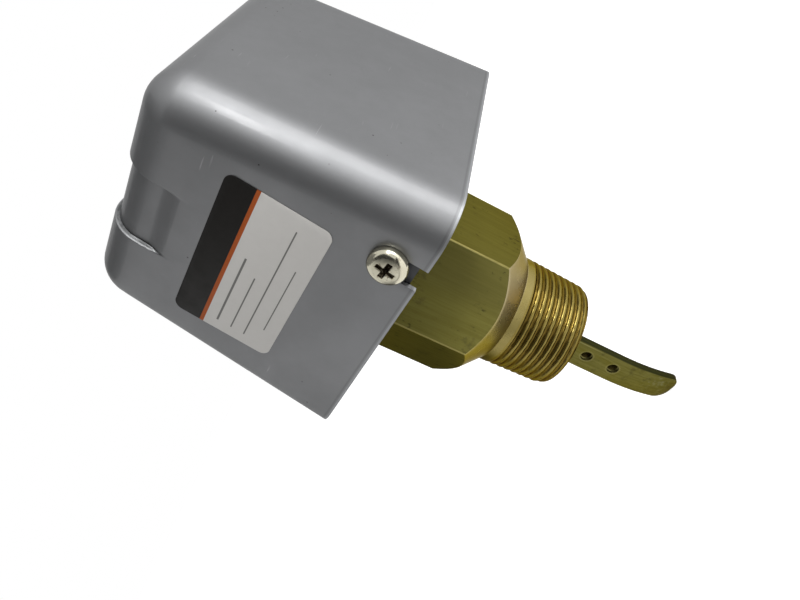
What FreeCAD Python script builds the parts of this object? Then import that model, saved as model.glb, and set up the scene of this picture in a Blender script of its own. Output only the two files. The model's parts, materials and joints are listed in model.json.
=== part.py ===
"""Paddle flow switch with a 3/4 inch taper thread, in millimetres.

The free end of the pipe thread is the plane z = 0 and its axis is +Z, so the paddle arm hangs
below zero and the cover stands above the hexagon. The label face of the cover looks along -Y.
"""
import FreeCAD, Part
import os
import re
import Sketcher

Vector = FreeCAD.Vector
AXIS_TURN = {
    "Z": FreeCAD.Rotation(),
    "X": FreeCAD.Rotation(Vector(0, 1, 0), 90),
    "Y": FreeCAD.Rotation(Vector(1, 0, 0), -90),
}

SIZES = [
    # brass body: taper thread, neck, cone, hexagon and spigot
    ("across_flats", 36.0),
    ("hexagon_turn", 2.3),
    ("bore_radius", 8.5),
    ("end_radius", 12.4),
    ("end_chamfer", 1.3),
    ("thread_radius", 12.92),
    ("thread_length", 14.0),
    ("thread_pitch", 1.814),
    ("thread_depth", 1.16),
    ("taper_angle", 1.79),
    ("neck_length", 3.2),
    ("cone_height", 7.5),
    ("body_height", 44.0),
    ("edge_chamfer", 0.8),
    ("spigot_radius", 14.0),
    ("spigot_height", 9.0),
    ("chamber_radius", 10.2),
    ("chamber_floor", 29.0),
    # bellows seal in the chamber
    ("seat_radius", 11.2),
    ("seat_depth", 3.5),
    ("seal_thick", 0.6),
    ("seal_width", 2.2),
    ("flange_thick", 1.5),
    ("flange_bore", 5.8),
    ("circlip_thick", 1.0),
    ("circlip_bite", 1.0),
    ("circlip_width", 2.6),
    ("circlip_mouth", 4.0),
    ("bellows_radius", 8.2),
    ("bellows_bore", 6.0),
    ("bellows_wall", 0.3),
    ("bellows_length", 17.0),
    ("bellows_collar", 1.5),
    ("bellows_cap_thick", 2.0),
    ("bellows_cap_gap", 0.6),
    # base plate, its seal and its lock nut
    ("gasket_thick", 0.5),
    ("gasket_width", 3.0),
    ("sheet_thick", 1.5),
    ("plate_side_gap", 2.7),
    ("flange_height", 10.0),
    ("nut_thick", 4.5),
    ("nut_across", 34.0),
    # cover, a drawn steel box with leaning walls
    ("rim_drop", 0.9),
    ("cover_height", 58.6),
    ("cover_half_width", 35.1),
    ("cover_front", 27.2),
    ("cover_back", 45.1),
    ("cover_wall", 1.0),
    ("pan_gap", 0.25),
    ("front_lean", 6.9),
    ("side_lean", 6.7),
    ("back_lean", 1.5),
    ("corner_radius", 9.0),
    ("crown_radius", 8.7),
    ("recess_half_width", 8.0),
    ("recess_depth", 0.9),
    ("recess_drop", 13.0),
    ("recess_run", 14.0),
    ("recess_corner", 2.0),
    ("slot_width", 5.3),
    # label on the cover
    ("label_width", 38.5),
    ("label_height", 21.9),
    ("label_rise", 29.0),
    ("label_thick", 0.15),
    ("label_corner", 2.0),
    ("label_tilt", 1.3),
    # cover screws
    ("cover_screw_edge", 15.5),
    ("cover_screw_rise", 6.9),
    ("cover_screw_length", 8.0),
    ("screw_head_radius", 3.6),
    ("cover_head_radius", 4.0),
    ("screw_head_height", 2.5),
    ("screw_radius", 2.0),
    ("screw_gap", 0.1),
    ("fit_gap", 0.05),
    ("screw_tail", 0.8),
    ("weld_nut_across", 6.0),
    ("small_nut_across", 7.0),
    ("small_nut_thick", 3.2),
    ("head_gap", 0.1),
    # pivot of the lever
    ("pivot_rise", 6.0),
    ("yoke_thick", 2.0),
    ("yoke_half_depth", 17.5),
    ("yoke_inner", 20.5),
    ("ear_radius", 7.0),
    ("pin_radius", 2.0),
    ("pin_end", 1.8),
    ("clip_thick", 0.6),
    ("clip_radius", 4.0),
    ("clip_gap", 0.1),
    ("spacer_radius", 4.0),
    ("side_gap", 0.2),
    # lever: hub, rod and paddle arm
    ("hub_half_width", 8.0),
    ("hub_half_depth", 6.0),
    ("hub_above", 5.0),
    ("hub_below", 4.6),
    ("hub_neck_radius", 4.2),
    ("hub_neck_length", 4.0),
    ("rod_radius", 3.0),
    ("rod_reach", 2.4),
    ("rod_tip", 1.5),
    ("rod_flat", 1.9),
    ("paddle_width", 8.6),
    ("paddle_thick", 1.2),
    ("paddle_top", 16.0),
    ("paddle_gap", 0.3),
    ("paddle_straight", 16.0),
    ("paddle_bend_radius", 60.0),
    ("paddle_bend_drop", 18.4),
    ("paddle_corner", 3.4),
    ("paddle_hole_radius", 1.5),
    ("collar_radius", 2.3),
    ("collar_height", 1.8),
    ("paddle_hole_first", 8.0),
    ("paddle_hole_pitch", 7.8),
    ("paddle_screw_radius", 1.2),
    ("paddle_screw_head", 2.2),
    ("paddle_screw_head_height", 1.2),
    ("paddle_screw_low", 4.5),
    ("paddle_screw_pitch", 7.0),
    # switch arm on the hub
    ("arm_half_width", 7.5),
    ("arm_thick", 2.0),
    ("arm_overhang", 3.8),
    ("arm_lip", 0.5),
    ("arm_screw_side", 4.6),
    ("arm_screw_back", 3.6),
    ("arm_screw_radius", 1.4),
    ("arm_screw_head", 2.6),
    ("arm_screw_head_height", 1.8),
    ("arm_screw_length", 7.0),
    ("trip_radius", 2.0),
    ("trip_head_radius", 3.0),
    ("trip_head_height", 1.6),
    ("trip_nut_thick", 2.2),
    ("trip_gap", 0.2),
    # bracket that carries the microswitch and the range adjuster
    ("bracket_front", 19.0),
    ("bracket_thick", 2.0),
    ("bracket_half_width", 25.0),
    ("bracket_height", 42.0),
    ("bracket_foot", 8.0),
    ("bracket_screw_side", 20.0),
    ("bracket_shelf_half", 9.0),
    ("bracket_shelf_depth", 17.0),
    ("window_half_width", 9.0),
    ("window_height", 5.9),
    ("stop_gap", 0.3),
    # microswitch
    ("insulator_thick", 0.5),
    ("switch_length", 49.2),
    ("switch_depth", 17.4),
    ("switch_height", 24.2),
    ("lid_height", 5.8),
    ("plunger_radius", 2.4),
    ("plunger_clearance", 0.08),
    ("plunger_rise", 1.8),
    ("plunger_length", 5.2),
    ("plunger_room", 3.0),
    ("switch_hole_pitch", 25.4),
    ("switch_hole_rise", 9.4),
    ("terminal_half", 4.2),
    ("terminal_thick", 1.0),
    ("terminal_pitch", 18.0),
    ("terminal_screw_radius", 1.7),
    ("terminal_screw_head", 3.2),
    ("terminal_screw_length", 5.0),
    # range adjuster
    ("adjuster_place", 9.5),
    ("adjuster_radius", 2.5),
    ("adjuster_length", 18.0),
    ("adjuster_head_across", 8.0),
    ("adjuster_head_height", 3.5),
    ("adjuster_slot", 1.2),
    ("seat_drop", 8.0),
    ("seat_thick", 3.0),
    ("seat_flange_radius", 5.2),
    ("seat_tab_half", 4.0),
    ("spring_radius", 3.9),
    ("spring_wire_radius", 0.5),
    ("spring_turns", 5.0),
    # cable grommet and earth screw
    ("grommet_place", 35.6),
    ("grommet_hole", 5.2),
    ("grommet_bore", 3.6),
    ("grommet_flange", 6.2),
    ("grommet_lip", 2.0),
    ("earth_edge", 4.9),
    ("earth_y", 34.0),
    ("earth_length", 3.0),
]

# levels and places that follow from the sizes
DERIVED = {
    "neck_radius": "thread_radius + tan(taper_angle) * thread_length",
    "neck_top": "thread_length + neck_length",
    "hexagon_radius": "across_flats / sqrt(3)",
    "cone_slope": "cone_height / (hexagon_radius - neck_radius)",
    "spigot_top": "body_height + spigot_height",
    "seat_level": "spigot_top - seat_depth",
    "bellows_top": "seat_level + seal_thick",
    "circlip_level": "bellows_top + flange_thick + fit_gap",
    "groove_radius": "seat_radius + circlip_bite",
    "bellows_bottom": "bellows_top - bellows_length",
    "plate_bottom": "body_height + gasket_thick",
    "plate_top": "plate_bottom + sheet_thick",
    "flange_top": "plate_top + flange_height",
    "yoke_top": "plate_top + yoke_thick",
    "nut_top": "yoke_top + nut_thick",
    "rim": "body_height - rim_drop",
    "crown": "rim + cover_height",
    "pan_inset": "cover_wall + pan_gap",
    "plate_half_width": "cover_half_width - plate_side_gap",
    "flange_half_width": "cover_half_width - corner_radius - screw_gap",
    "earth_x": "(earth_edge - plate_half_width)",
    "cover_screw_offset": "(cover_half_width - cover_screw_edge)",
    "pan_front": "(cover_front - pan_inset / cos(front_lean))",
    "pan_back": "(cover_back - pan_inset / cos(back_lean))",
    "pivot_level": "spigot_top + pivot_rise",
    "hub_top": "pivot_level + hub_above",
    "hub_bottom": "pivot_level - hub_below",
    "arm_top": "hub_top + arm_thick",
    "bracket_back": "bracket_front + bracket_thick",
    "bracket_top": "plate_top + bracket_height",
    "switch_front": "bracket_back + insulator_thick",
    "switch_back": "switch_front + switch_depth",
    "switch_middle": "switch_front + switch_depth / 2",
    "switch_bottom": "arm_top + trip_head_height + trip_gap + plunger_rise",
    "switch_top": "switch_bottom + switch_height",
    "lid_bottom": "switch_top - lid_height",
    "switch_hole_level": "switch_bottom + switch_hole_rise",
    "shelf_level": "bracket_top - bracket_thick",
    "seat_top": "shelf_level - seat_drop",
    "seat_bottom": "seat_top - seat_thick",
    "ear_outer": "yoke_inner + yoke_thick",
    "paddle_back": "rod_flat",
    "paddle_front": "rod_flat + paddle_thick",
    "paddle_tip": "paddle_straight + paddle_bend_drop",
}

doc = FreeCAD.newDocument("paddle_flow_switch")
sheet = doc.addObject("Spreadsheet::Sheet", "Sizes")
for row, (alias, number) in enumerate(SIZES, start=1):
    sheet.set(f"A{row}", alias)
    sheet.set(f"B{row}", str(number))
    sheet.setAlias(f"B{row}", alias)
doc.recompute()

ALIASES = {alias for alias, number in SIZES}
parts = []


def formula(text):
    """Write out the derived names in a formula and point the rest at the sheet's cells."""
    def name(match):
        word = match.group(0)
        if word in DERIVED:
            return "(" + formula(DERIVED[word]) + ")"
        return "Sizes." + word if word in ALIASES else word
    return re.sub(r"[a-z][a-z_]+", name, str(text))


def value(text):
    """The number that a formula stands for."""
    result = sheet.evalExpression(formula(text))
    return float(getattr(result, "Value", result))


def bind(item, **sizes):
    """Tie an object's properties to formulas."""
    for prop, text in sizes.items():
        item.setExpression(prop, formula(text))
    return item


def put(item, x="0", y="0", z="0", turn=None):
    """Turn an object and tie its place to formulas."""
    item.Placement = FreeCAD.Placement(Vector(), turn or FreeCAD.Rotation())
    for prop, text in (("x", x), ("y", y), ("z", z)):
        item.setExpression(f"Placement.Base.{prop}", formula(text))
    return item


def cylinder(radius, length, x="0", y="0", z="0", axis="Z"):
    item = bind(doc.addObject("Part::Cylinder", "cylinder"), Radius=radius, Height=length)
    return put(item, x, y, z, AXIS_TURN[axis])


def prism(across, length, x="0", y="0", z="0", turn=None):
    """A hexagonal prism, given its size across flats."""
    item = doc.addObject("Part::Prism", "prism")
    item.Polygon = 6
    bind(item, Circumradius=f"({across}) / sqrt(3)", Height=length)
    return put(item, x, y, z, turn)


def box(x_low, x_high, y_low, y_high, z_low, z_high):
    item = doc.addObject("Part::Box", "box")
    bind(item, Length=f"({x_high}) - ({x_low})", Width=f"({y_high}) - ({y_low})",
         Height=f"({z_high}) - ({z_low})")
    return put(item, x_low, y_low, z_low)


def fuse(*items):
    item = doc.addObject("Part::MultiFuse", "fuse")
    item.Shapes = list(items)
    return item


def cut(base, *tools):
    item = doc.addObject("Part::Cut", "cut")
    item.Base = base
    item.Tool = tools[0] if len(tools) == 1 else fuse(*tools)
    return item


def common(*items):
    item = doc.addObject("Part::MultiCommon", "common")
    item.Shapes = list(items)
    return item


def group(*items):
    """Separate solids that share one node."""
    item = doc.addObject("Part::Compound", "group")
    item.Links = list(items)
    return item


def fixed(shape):
    """An object for a shape that Part's own functions made."""
    item = doc.addObject("Part::Feature", "shape")
    item.Shape = shape
    return item


def part(label, item):
    """Name a finished sub-part, which also names its file."""
    item.Label = label
    parts.append(item)
    return item


def sketch_on(body, role, points):
    """A closed outline whose corners are tied to formulas, on one of the body's own planes."""
    sketch = body.newObject("Sketcher::SketchObject", "outline")
    plane = next(item for item in body.Origin.OriginFeatures if item.Role == role)
    sketch.AttachmentSupport = (plane, [""])
    sketch.MapMode = "FlatFace"
    corners = [Vector(value(across), value(up), 0) for across, up in points]
    count = len(corners)
    for index in range(count):
        sketch.addGeometry(Part.LineSegment(corners[index], corners[(index + 1) % count]))
    for index in range(count):
        sketch.addConstraint(Sketcher.Constraint("Coincident", index, 2, (index + 1) % count, 1))
    for index, corner in enumerate(points):
        for kind, axis, text in (("DistanceX", -2, corner[0]), ("DistanceY", -1, corner[1])):
            if text == "0":
                sketch.addConstraint(Sketcher.Constraint("PointOnObject", index, 1, axis))
                continue
            row = sketch.addConstraint(Sketcher.Constraint(kind, -1, 1, index, 1, value(text)))
            sketch.setExpression(f"Constraints[{row}]", formula(text))
    return sketch


def turned(points):
    """A piece turned about Z from (radius, level) corners."""
    body = doc.addObject("PartDesign::Body", "turned")
    sketch = sketch_on(body, "XZ_Plane", points)
    spin = body.newObject("PartDesign::Revolution", "spin")
    spin.Profile = sketch
    spin.ReferenceAxis = (sketch, ["V_Axis"])
    spin.Angle = 360
    return body


def padded(role, points, length):
    """A piece of one outline, as deep as length and centred on the outline's plane."""
    body = doc.addObject("PartDesign::Body", "padded")
    sketch = sketch_on(body, role, points)
    pad = body.newObject("PartDesign::Pad", "pad")
    pad.Profile = sketch
    bind(pad, Length=length)
    pad.SideType = "Symmetric"
    return body


def ring(outer, inner, length, x="0", y="0", z="0", axis="Z"):
    return cut(cylinder(outer, length, x, y, z, axis), cylinder(inner, length, x, y, z, axis))


def screw(shank, length, head, height, blades=2):
    """A screw on +Z with its head above z = 0, and a cross or single slot in the head."""
    blank = turned([("0", f"-({length})"), (shank, f"-({length})"), (shank, "0"), (head, "0"),
                    (head, f"0.45 * ({height})"), (f"0.62 * ({head})", height), ("0", height)])
    slots = []
    for index in range(blades):
        blade = box(f"-0.55 * ({head})", f"0.55 * ({head})", f"-0.14 * ({head})",
                    f"0.14 * ({head})", f"0.45 * ({height})", f"1.1 * ({height})")
        turn = FreeCAD.Placement(Vector(), FreeCAD.Rotation(Vector(0, 0, 1), 45 + 90 * index))
        slots.append(held(blade, turn))
    return cut(blank, *slots)


def held(item, placement):
    """Wrap an object so that it can be turned or moved as a whole."""
    holder = doc.addObject("Part::Compound", "held")
    holder.Links = [item]
    holder.Placement = placement
    return holder


def at(item, x, y, z, turn=None):
    """Move a finished object as a whole."""
    holder = doc.addObject("Part::Compound", "placed")
    holder.Links = [item]
    return put(holder, x, y, z, turn)


def hex_nut(across, thick, bore, x="0", y="0", z="0", turn=None):
    return at(cut(prism(across, thick), cylinder(bore, thick)), x, y, z, turn)


# ---------------------------------------------------------------- body


def thread_profile():
    """Corners of the taper thread, drawn as closed grooves one pitch apart."""
    def crest(level):
        return f"thread_radius + tan(taper_angle) * ({level})"

    corners = []
    turns = int(value("(thread_length - end_chamfer) / thread_pitch"))
    for index in range(turns):
        start = f"end_chamfer + {index} * thread_pitch"
        root = f"{start} + thread_pitch / 2"
        corners.append((crest(start), start))
        corners.append((f"{crest(root)} - thread_depth", root))
        # a narrow flat is left on each crest
        end = f"{start} + 0.92 * thread_pitch"
        corners.append((crest(end), end))
    return corners


def make_body():
    margin = "(hexagon_radius + 1)"
    envelope = turned([
        ("bore_radius", "0"), ("end_radius", "0"), *thread_profile(),
        ("neck_radius", "thread_length"), ("neck_radius", "neck_top"),
        (margin, "neck_top + cone_height + cone_slope"),
        (margin, "body_height"), ("spigot_radius", "body_height"),
        ("spigot_radius", "spigot_top - edge_chamfer"),
        ("spigot_radius - edge_chamfer", "spigot_top"), ("seat_radius", "spigot_top"),
        ("seat_radius", "circlip_level + circlip_thick"),
        ("groove_radius", "circlip_level + circlip_thick"), ("groove_radius", "circlip_level"),
        ("seat_radius", "circlip_level"), ("seat_radius", "seat_level"),
        ("chamber_radius", "seat_level"), ("chamber_radius", "chamber_floor"),
        ("bore_radius", "chamber_floor"),
    ])
    turn = FreeCAD.Rotation(Vector(0, 0, 1), 30 + value("hexagon_turn"))
    stock = fuse(
        prism("across_flats", "body_height - neck_top", z="neck_top", turn=turn),
        cylinder("neck_radius + 1", "neck_top + 2", z="-1"),
        cylinder("spigot_radius + 1", "spigot_height + 2", z="body_height - 1"))
    part("body", common(envelope, stock))


def make_bellows_seal():
    part("bellows_gasket", ring("seat_radius - fit_gap", "seat_radius - seal_width", "seal_thick",
                                z="seat_level"))
    part("bellows_flange", ring("seat_radius - fit_gap", "flange_bore", "flange_thick",
                                z="bellows_top"))
    outer = "(groove_radius - 3 * fit_gap)"
    mouth = box("-circlip_mouth / 2", "circlip_mouth / 2", "0", "2 * seat_radius",
                "circlip_level", "circlip_level + circlip_thick")
    part("bellows_circlip", cut(ring(outer, f"{outer} - circlip_width",
                                     "circlip_thick - fit_gap", z="circlip_level"), mouth))
    folds = 6
    span = "(bellows_length - 2 * bellows_collar)"
    outside = [("bellows_bore + bellows_wall", "bellows_bottom")]
    inside = [("bellows_bore", "bellows_bottom")]
    for index in range(2 * folds + 1):
        level = f"bellows_bottom + bellows_collar + {span} * {index} / {2 * folds}"
        inner = "bellows_radius - bellows_wall" if index % 2 else "bellows_bore"
        outside.append((f"{inner} + bellows_wall", level))
        inside.append((inner, level))
    outside.append(("bellows_bore + bellows_wall", "bellows_top"))
    inside.append(("bellows_bore", "bellows_top"))
    part("bellows", turned(outside + inside[::-1]))
    part("bellows_cap", ring("bellows_radius - bellows_cap_gap", "rod_radius", "bellows_cap_thick",
                             z="bellows_bottom - bellows_cap_gap - bellows_cap_thick"))


# ---------------------------------------------------------------- cover


def cover_form(inset, floor):
    """The cover's outer form moved inwards by inset, solid, from the level floor to its crown."""
    rim = value("rim")
    top = value("crown") - inset

    def corners(level):
        rise = level - rim
        side = value(f"cover_half_width - {inset} / cos(side_lean) - tan(side_lean) * ({rise})")
        front = value(f"{inset} / cos(front_lean) - cover_front + tan(front_lean) * ({rise})")
        back = value(f"cover_back - {inset} / cos(back_lean) - tan(back_lean) * ({rise})")
        loop = [Vector(-side, front, level), Vector(side, front, level),
                Vector(side, back, level), Vector(-side, back, level)]
        return Part.makePolygon(loop + loop[:1])

    block = Part.makeLoft([corners(floor), corners(top)], True, True)
    height = top - floor
    walls = [edge for edge in block.Edges if edge.BoundBox.ZLength > 0.9 * height]
    block = block.makeFillet(value("corner_radius") - inset, walls)
    crown = [edge for edge in block.Edges if edge.BoundBox.ZMin > top - 0.01]
    return block.makeFillet(value("crown_radius") - inset, crown)


def recess_tool(grow):
    """The column over the pressed recess in the front of the crown, widened by grow."""
    half = value("recess_half_width") + grow
    low = value("crown - recess_drop") - grow
    front = -value("cover_front") - 5
    back = value("recess_run - cover_front + tan(front_lean) * cover_height") + grow
    column = Part.makeBox(2 * half, back - front, value("recess_drop") + grow + 5,
                          Vector(-half, front, low))
    corners = [edge for edge in column.Edges
               if edge.BoundBox.XLength < 0.01 and abs(edge.BoundBox.XMin) > 0.5 * half
               and ((edge.BoundBox.ZMax < low + 0.01 and edge.BoundBox.YLength > 1)
                    or (edge.BoundBox.YMin > back - 0.01 and edge.BoundBox.ZLength > 1))]
    return column.makeFillet(value("recess_corner") + grow, corners)


def make_cover():
    wall = value("cover_wall")
    depth = value("recess_depth")
    rim = value("rim")
    outer = cover_form(0, rim).cut(recess_tool(0).cut(cover_form(depth, rim)))
    hollow = cover_form(wall, rim - 1).cut(
        recess_tool(wall).cut(cover_form(wall + depth, rim - 1)))
    shell = fixed(outer.cut(hollow))
    slots = []
    half = "slot_width / 2"
    screw_level = "rim + cover_screw_rise"
    for side, y_low, y_high in (("1", "-cover_front - 5", "4 - cover_front"),
                                ("-1", "cover_back - 4", "cover_back + 5")):
        middle = f"{side} * cover_screw_offset"
        slots.append(box(f"{middle} - {half}", f"{middle} + {half}", y_low, y_high,
                         "rim - 1", screw_level))
        slots.append(cylinder(half, f"({y_high}) - ({y_low})", middle, y_low, screw_level, "Y"))
    part("cover", cut(shell, *slots))


def on_front(item, x, rise, out, turn_in_face=0):
    """Put an object made on +Z upon the front wall, rise above the rim, out from the wall."""
    lean = value("front_lean")
    turn = FreeCAD.Rotation(Vector(1, 0, 0), 90 - lean) * FreeCAD.Rotation(
        Vector(0, 0, 1), turn_in_face)
    return at(item, x, f"tan(front_lean) * ({rise}) - cover_front - cos(front_lean) * ({out})",
              f"rim + {rise} + sin(front_lean) * ({out})", turn)


def on_back(item, x, rise, out):
    """Put an object made on +Z upon the back wall, as on_front does on the front."""
    turn = FreeCAD.Rotation(Vector(1, 0, 0), value("back_lean") - 90)
    return at(item, x, f"cover_back - tan(back_lean) * ({rise}) + cos(back_lean) * ({out})",
              f"rim + {rise} + sin(back_lean) * ({out})", turn)


def make_label():
    half_w = "label_width / 2"
    half_h = "label_height / 2"
    pieces = [
        box(f"-{half_w} + label_corner", f"{half_w} - label_corner", f"-{half_h}", half_h,
            "0", "label_thick"),
        box(f"-{half_w}", half_w, f"-{half_h} + label_corner", f"{half_h} - label_corner",
            "0", "label_thick")]
    for side in (-1, 1):
        for end in (-1, 1):
            pieces.append(cylinder("label_corner", "label_thick",
                                   f"{side} * ({half_w} - label_corner)",
                                   f"{end} * ({half_h} - label_corner)"))
    rise = "label_rise * cos(front_lean)"
    part("label_plate", on_front(fuse(*pieces), "0", rise, "0", -value("label_tilt")))


def make_cover_screws():
    def one():
        return screw("screw_radius", "cover_screw_length", "cover_head_radius",
                     "screw_head_height")

    def weld_nut():
        return hex_nut("weld_nut_across", "small_nut_thick", "screw_radius + screw_gap")

    rise = "cover_screw_rise"
    inside = "-(pan_inset + sheet_thick + small_nut_thick)"
    part("front_cover_screw", on_front(one(), "cover_screw_offset", rise, "head_gap"))
    part("rear_cover_screw", on_back(one(), "-cover_screw_offset", rise, "head_gap"))
    part("cover_nuts", group(on_front(weld_nut(), "cover_screw_offset", rise, inside),
                             on_back(weld_nut(), "-cover_screw_offset", rise, inside)))


# ---------------------------------------------------------------- base plate


def make_base_plate():
    def front(level):
        return f"tan(front_lean) * ({level} - rim) - pan_front"

    def back(level):
        return f"pan_back - tan(back_lean) * ({level} - rim)"

    thick_front = "sheet_thick / cos(front_lean)"
    thick_back = "sheet_thick / cos(back_lean)"
    channel = padded("YZ_Plane", [
        (front("plate_bottom"), "plate_bottom"), (back("plate_bottom"), "plate_bottom"),
        (back("flange_top"), "flange_top"),
        (f"{back('flange_top')} - {thick_back}", "flange_top"),
        (f"{back('plate_top')} - {thick_back}", "plate_top"),
        (f"{front('plate_top')} + {thick_front}", "plate_top"),
        (f"{front('flange_top')} + {thick_front}", "flange_top"),
        (front("flange_top"), "flange_top")], "2 * flange_half_width")
    floor = common(
        box("-plate_half_width", "plate_half_width", "-cover_front", "cover_back",
            "plate_bottom", "plate_top"),
        fixed(cover_form(value("pan_inset"), value("rim"))))
    bore = "screw_radius + screw_gap"
    through = "4 * sheet_thick"
    low = "plate_bottom - sheet_thick"
    reach = "-(pan_inset + 3 * sheet_thick)"
    holes = [
        cylinder("spigot_radius + screw_gap", through, z=low),
        cylinder("grommet_hole", through, y="grommet_place", z=low),
        cylinder(bore, through, "earth_x", "earth_y", low),
        on_front(cylinder(bore, through), "cover_screw_offset", "cover_screw_rise", reach),
        on_back(cylinder(bore, through), "-cover_screw_offset", "cover_screw_rise", reach),
    ]
    for side in ("-1", "1"):
        holes.append(cylinder(bore, through, f"{side} * bracket_screw_side",
                              "bracket_back + bracket_foot / 2", low))
    part("base_plate", cut(fuse(channel, floor), *holes))
    part("body_gasket", ring("spigot_radius + gasket_width", "spigot_radius + screw_gap",
                             "gasket_thick", z="body_height"))
    part("lock_nut", hex_nut("nut_across", "nut_thick", "spigot_radius + screw_gap",
                             z="yoke_top"))


def make_grommet():
    waist = "grommet_hole - screw_gap"
    part("cable_grommet", at(turned([
        ("grommet_bore", "-grommet_lip"), ("grommet_flange - 0.8", "-grommet_lip"),
        ("grommet_flange", "0"), (waist, "0"), (waist, "sheet_thick"),
        ("grommet_flange", "sheet_thick"),
        ("grommet_flange - 0.8", "sheet_thick + grommet_lip"),
        ("grommet_bore", "sheet_thick + grommet_lip")]),
        "0", "grommet_place", "plate_bottom"))
    part("earth_screw", at(screw("screw_radius", "earth_length", "screw_head_radius",
                                 "screw_head_height"), "earth_x", "earth_y", "plate_top"))


# ---------------------------------------------------------------- pivot and lever


def make_pivot():
    half = "ear_outer"
    solids = [box(f"-{half}", half, "-yoke_half_depth", "yoke_half_depth", "plate_top",
                  "yoke_top")]
    for low, high in (("-ear_outer", "-yoke_inner"), ("yoke_inner", "ear_outer")):
        solids.append(box(low, high, "-ear_radius", "ear_radius", "plate_top", "pivot_level"))
        solids.append(cylinder("ear_radius", "yoke_thick", low, "0", "pivot_level", "X"))
    pin_bore = "pin_radius + fit_gap"
    part("pivot_yoke", cut(
        fuse(*solids),
        cylinder("spigot_radius + screw_gap", "4 * yoke_thick", z="plate_top - yoke_thick"),
        cylinder(pin_bore, "2 * ear_outer + 2", "-ear_outer - 1", "0", "pivot_level", "X")))
    reach = "ear_outer + pin_end"
    neck = "pin_radius - 0.5"
    groove_width = "clip_thick + clip_gap"
    grooves = []
    clips = []
    for side, low in ((-1, "-ear_outer - clip_gap - clip_thick - fit_gap"),
                      (1, "ear_outer + clip_gap")):
        grooves.append(ring("pin_radius + 1", neck, groove_width, low, "0", "pivot_level", "X"))
        clip = ring("clip_radius", f"{neck} + fit_gap", "clip_thick", f"{low} + fit_gap", "0",
                    "pivot_level", "X")
        mouth = box(low, f"{low} + {groove_width}", "-0.6 * pin_radius", "0.6 * pin_radius",
                    "pivot_level - clip_radius - 1", "pivot_level")
        clips.append(cut(clip, mouth))
    part("pivot_pin", cut(cylinder("pin_radius", f"2 * ({reach})", f"-({reach})", "0",
                                   "pivot_level", "X"), *grooves))
    part("pivot_clips", group(*clips))
    spacer = "yoke_inner - hub_half_width - side_gap"
    part("pivot_spacers", group(
        ring("spacer_radius", pin_bore, spacer, "hub_half_width", "0", "pivot_level", "X"),
        ring("spacer_radius", pin_bore, spacer, f"-hub_half_width - ({spacer})", "0",
             "pivot_level", "X")))


def make_lever():
    pin_bore = "pin_radius + fit_gap"
    rod_top = "hub_bottom + rod_reach"
    rod_hole = cylinder("rod_radius", "hub_neck_length + rod_reach",
                        z="hub_bottom - hub_neck_length")
    screw_holes = [
        cylinder("arm_screw_radius + fit_gap", "arm_screw_length + 1",
                 f"{side} * arm_screw_side", "-arm_screw_back",
                 "arm_top - arm_screw_length - side_gap") for side in (-1, 1)]
    part("lever_hub", cut(
        fuse(box("-hub_half_width", "hub_half_width", "-hub_half_depth", "hub_half_depth",
                 "hub_bottom", "hub_top"),
             cylinder("hub_neck_radius", "hub_neck_length + 1",
                      z="hub_bottom - hub_neck_length")),
        rod_hole,
        cylinder(pin_bore, "2 * hub_half_width + 2", "-hub_half_width - 1", "0",
                 "pivot_level", "X"),
        *screw_holes))
    paddle_holes = [
        cylinder("paddle_screw_radius + fit_gap", "4 * rod_radius", "0", "-2 * rod_radius",
                 f"paddle_screw_low + {index} * paddle_screw_pitch", "Y") for index in (0, 1)]
    part("lever_rod", cut(
        cylinder("rod_radius", f"{rod_top} - rod_tip", z="rod_tip"),
        box("-rod_radius - 1", "rod_radius + 1", "-2 * rod_radius", "-rod_flat", "0",
            "paddle_top + paddle_gap"),
        *paddle_holes))
    make_paddle(paddle_holes)
    screws = []
    for index in (0, 1):
        one = screw("paddle_screw_radius", "paddle_thick + rod_radius", "paddle_screw_head",
                    "paddle_screw_head_height", 1)
        screws.append(at(one, "0", "-paddle_front",
                         f"paddle_screw_low + {index} * paddle_screw_pitch",
                         FreeCAD.Rotation(Vector(1, 0, 0), 90)))
    part("paddle_screws", group(*screws))
    arm = box("-arm_half_width", "arm_half_width", "-hub_half_depth - arm_lip",
              "switch_middle + arm_overhang", "hub_top", "arm_top")
    trip_hole = cylinder("trip_radius + fit_gap", "arm_thick + 2", "0", "switch_middle",
                         "hub_top - 1")
    part("switch_arm", cut(arm, trip_hole, *screw_holes))
    heads = [at(screw("arm_screw_radius", "arm_screw_length", "arm_screw_head",
                      "arm_screw_head_height"),
                f"{side} * arm_screw_side", "-arm_screw_back", "arm_top") for side in (-1, 1)]
    part("arm_screws", group(*heads))
    part("trip_screw", at(turned([
        ("0", "-arm_thick - trip_nut_thick - 1"), ("trip_radius", "-arm_thick - trip_nut_thick - 1"),
        ("trip_radius", "0"), ("trip_head_radius", "0"),
        ("trip_head_radius", "0.4 * trip_head_height"),
        ("0.5 * trip_head_radius", "trip_head_height"), ("0", "trip_head_height")]),
        "0", "switch_middle", "arm_top"))
    part("trip_nut", hex_nut("small_nut_across", "trip_nut_thick", "trip_radius + fit_gap",
                             y="switch_middle", z="hub_top - trip_nut_thick"))


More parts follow.
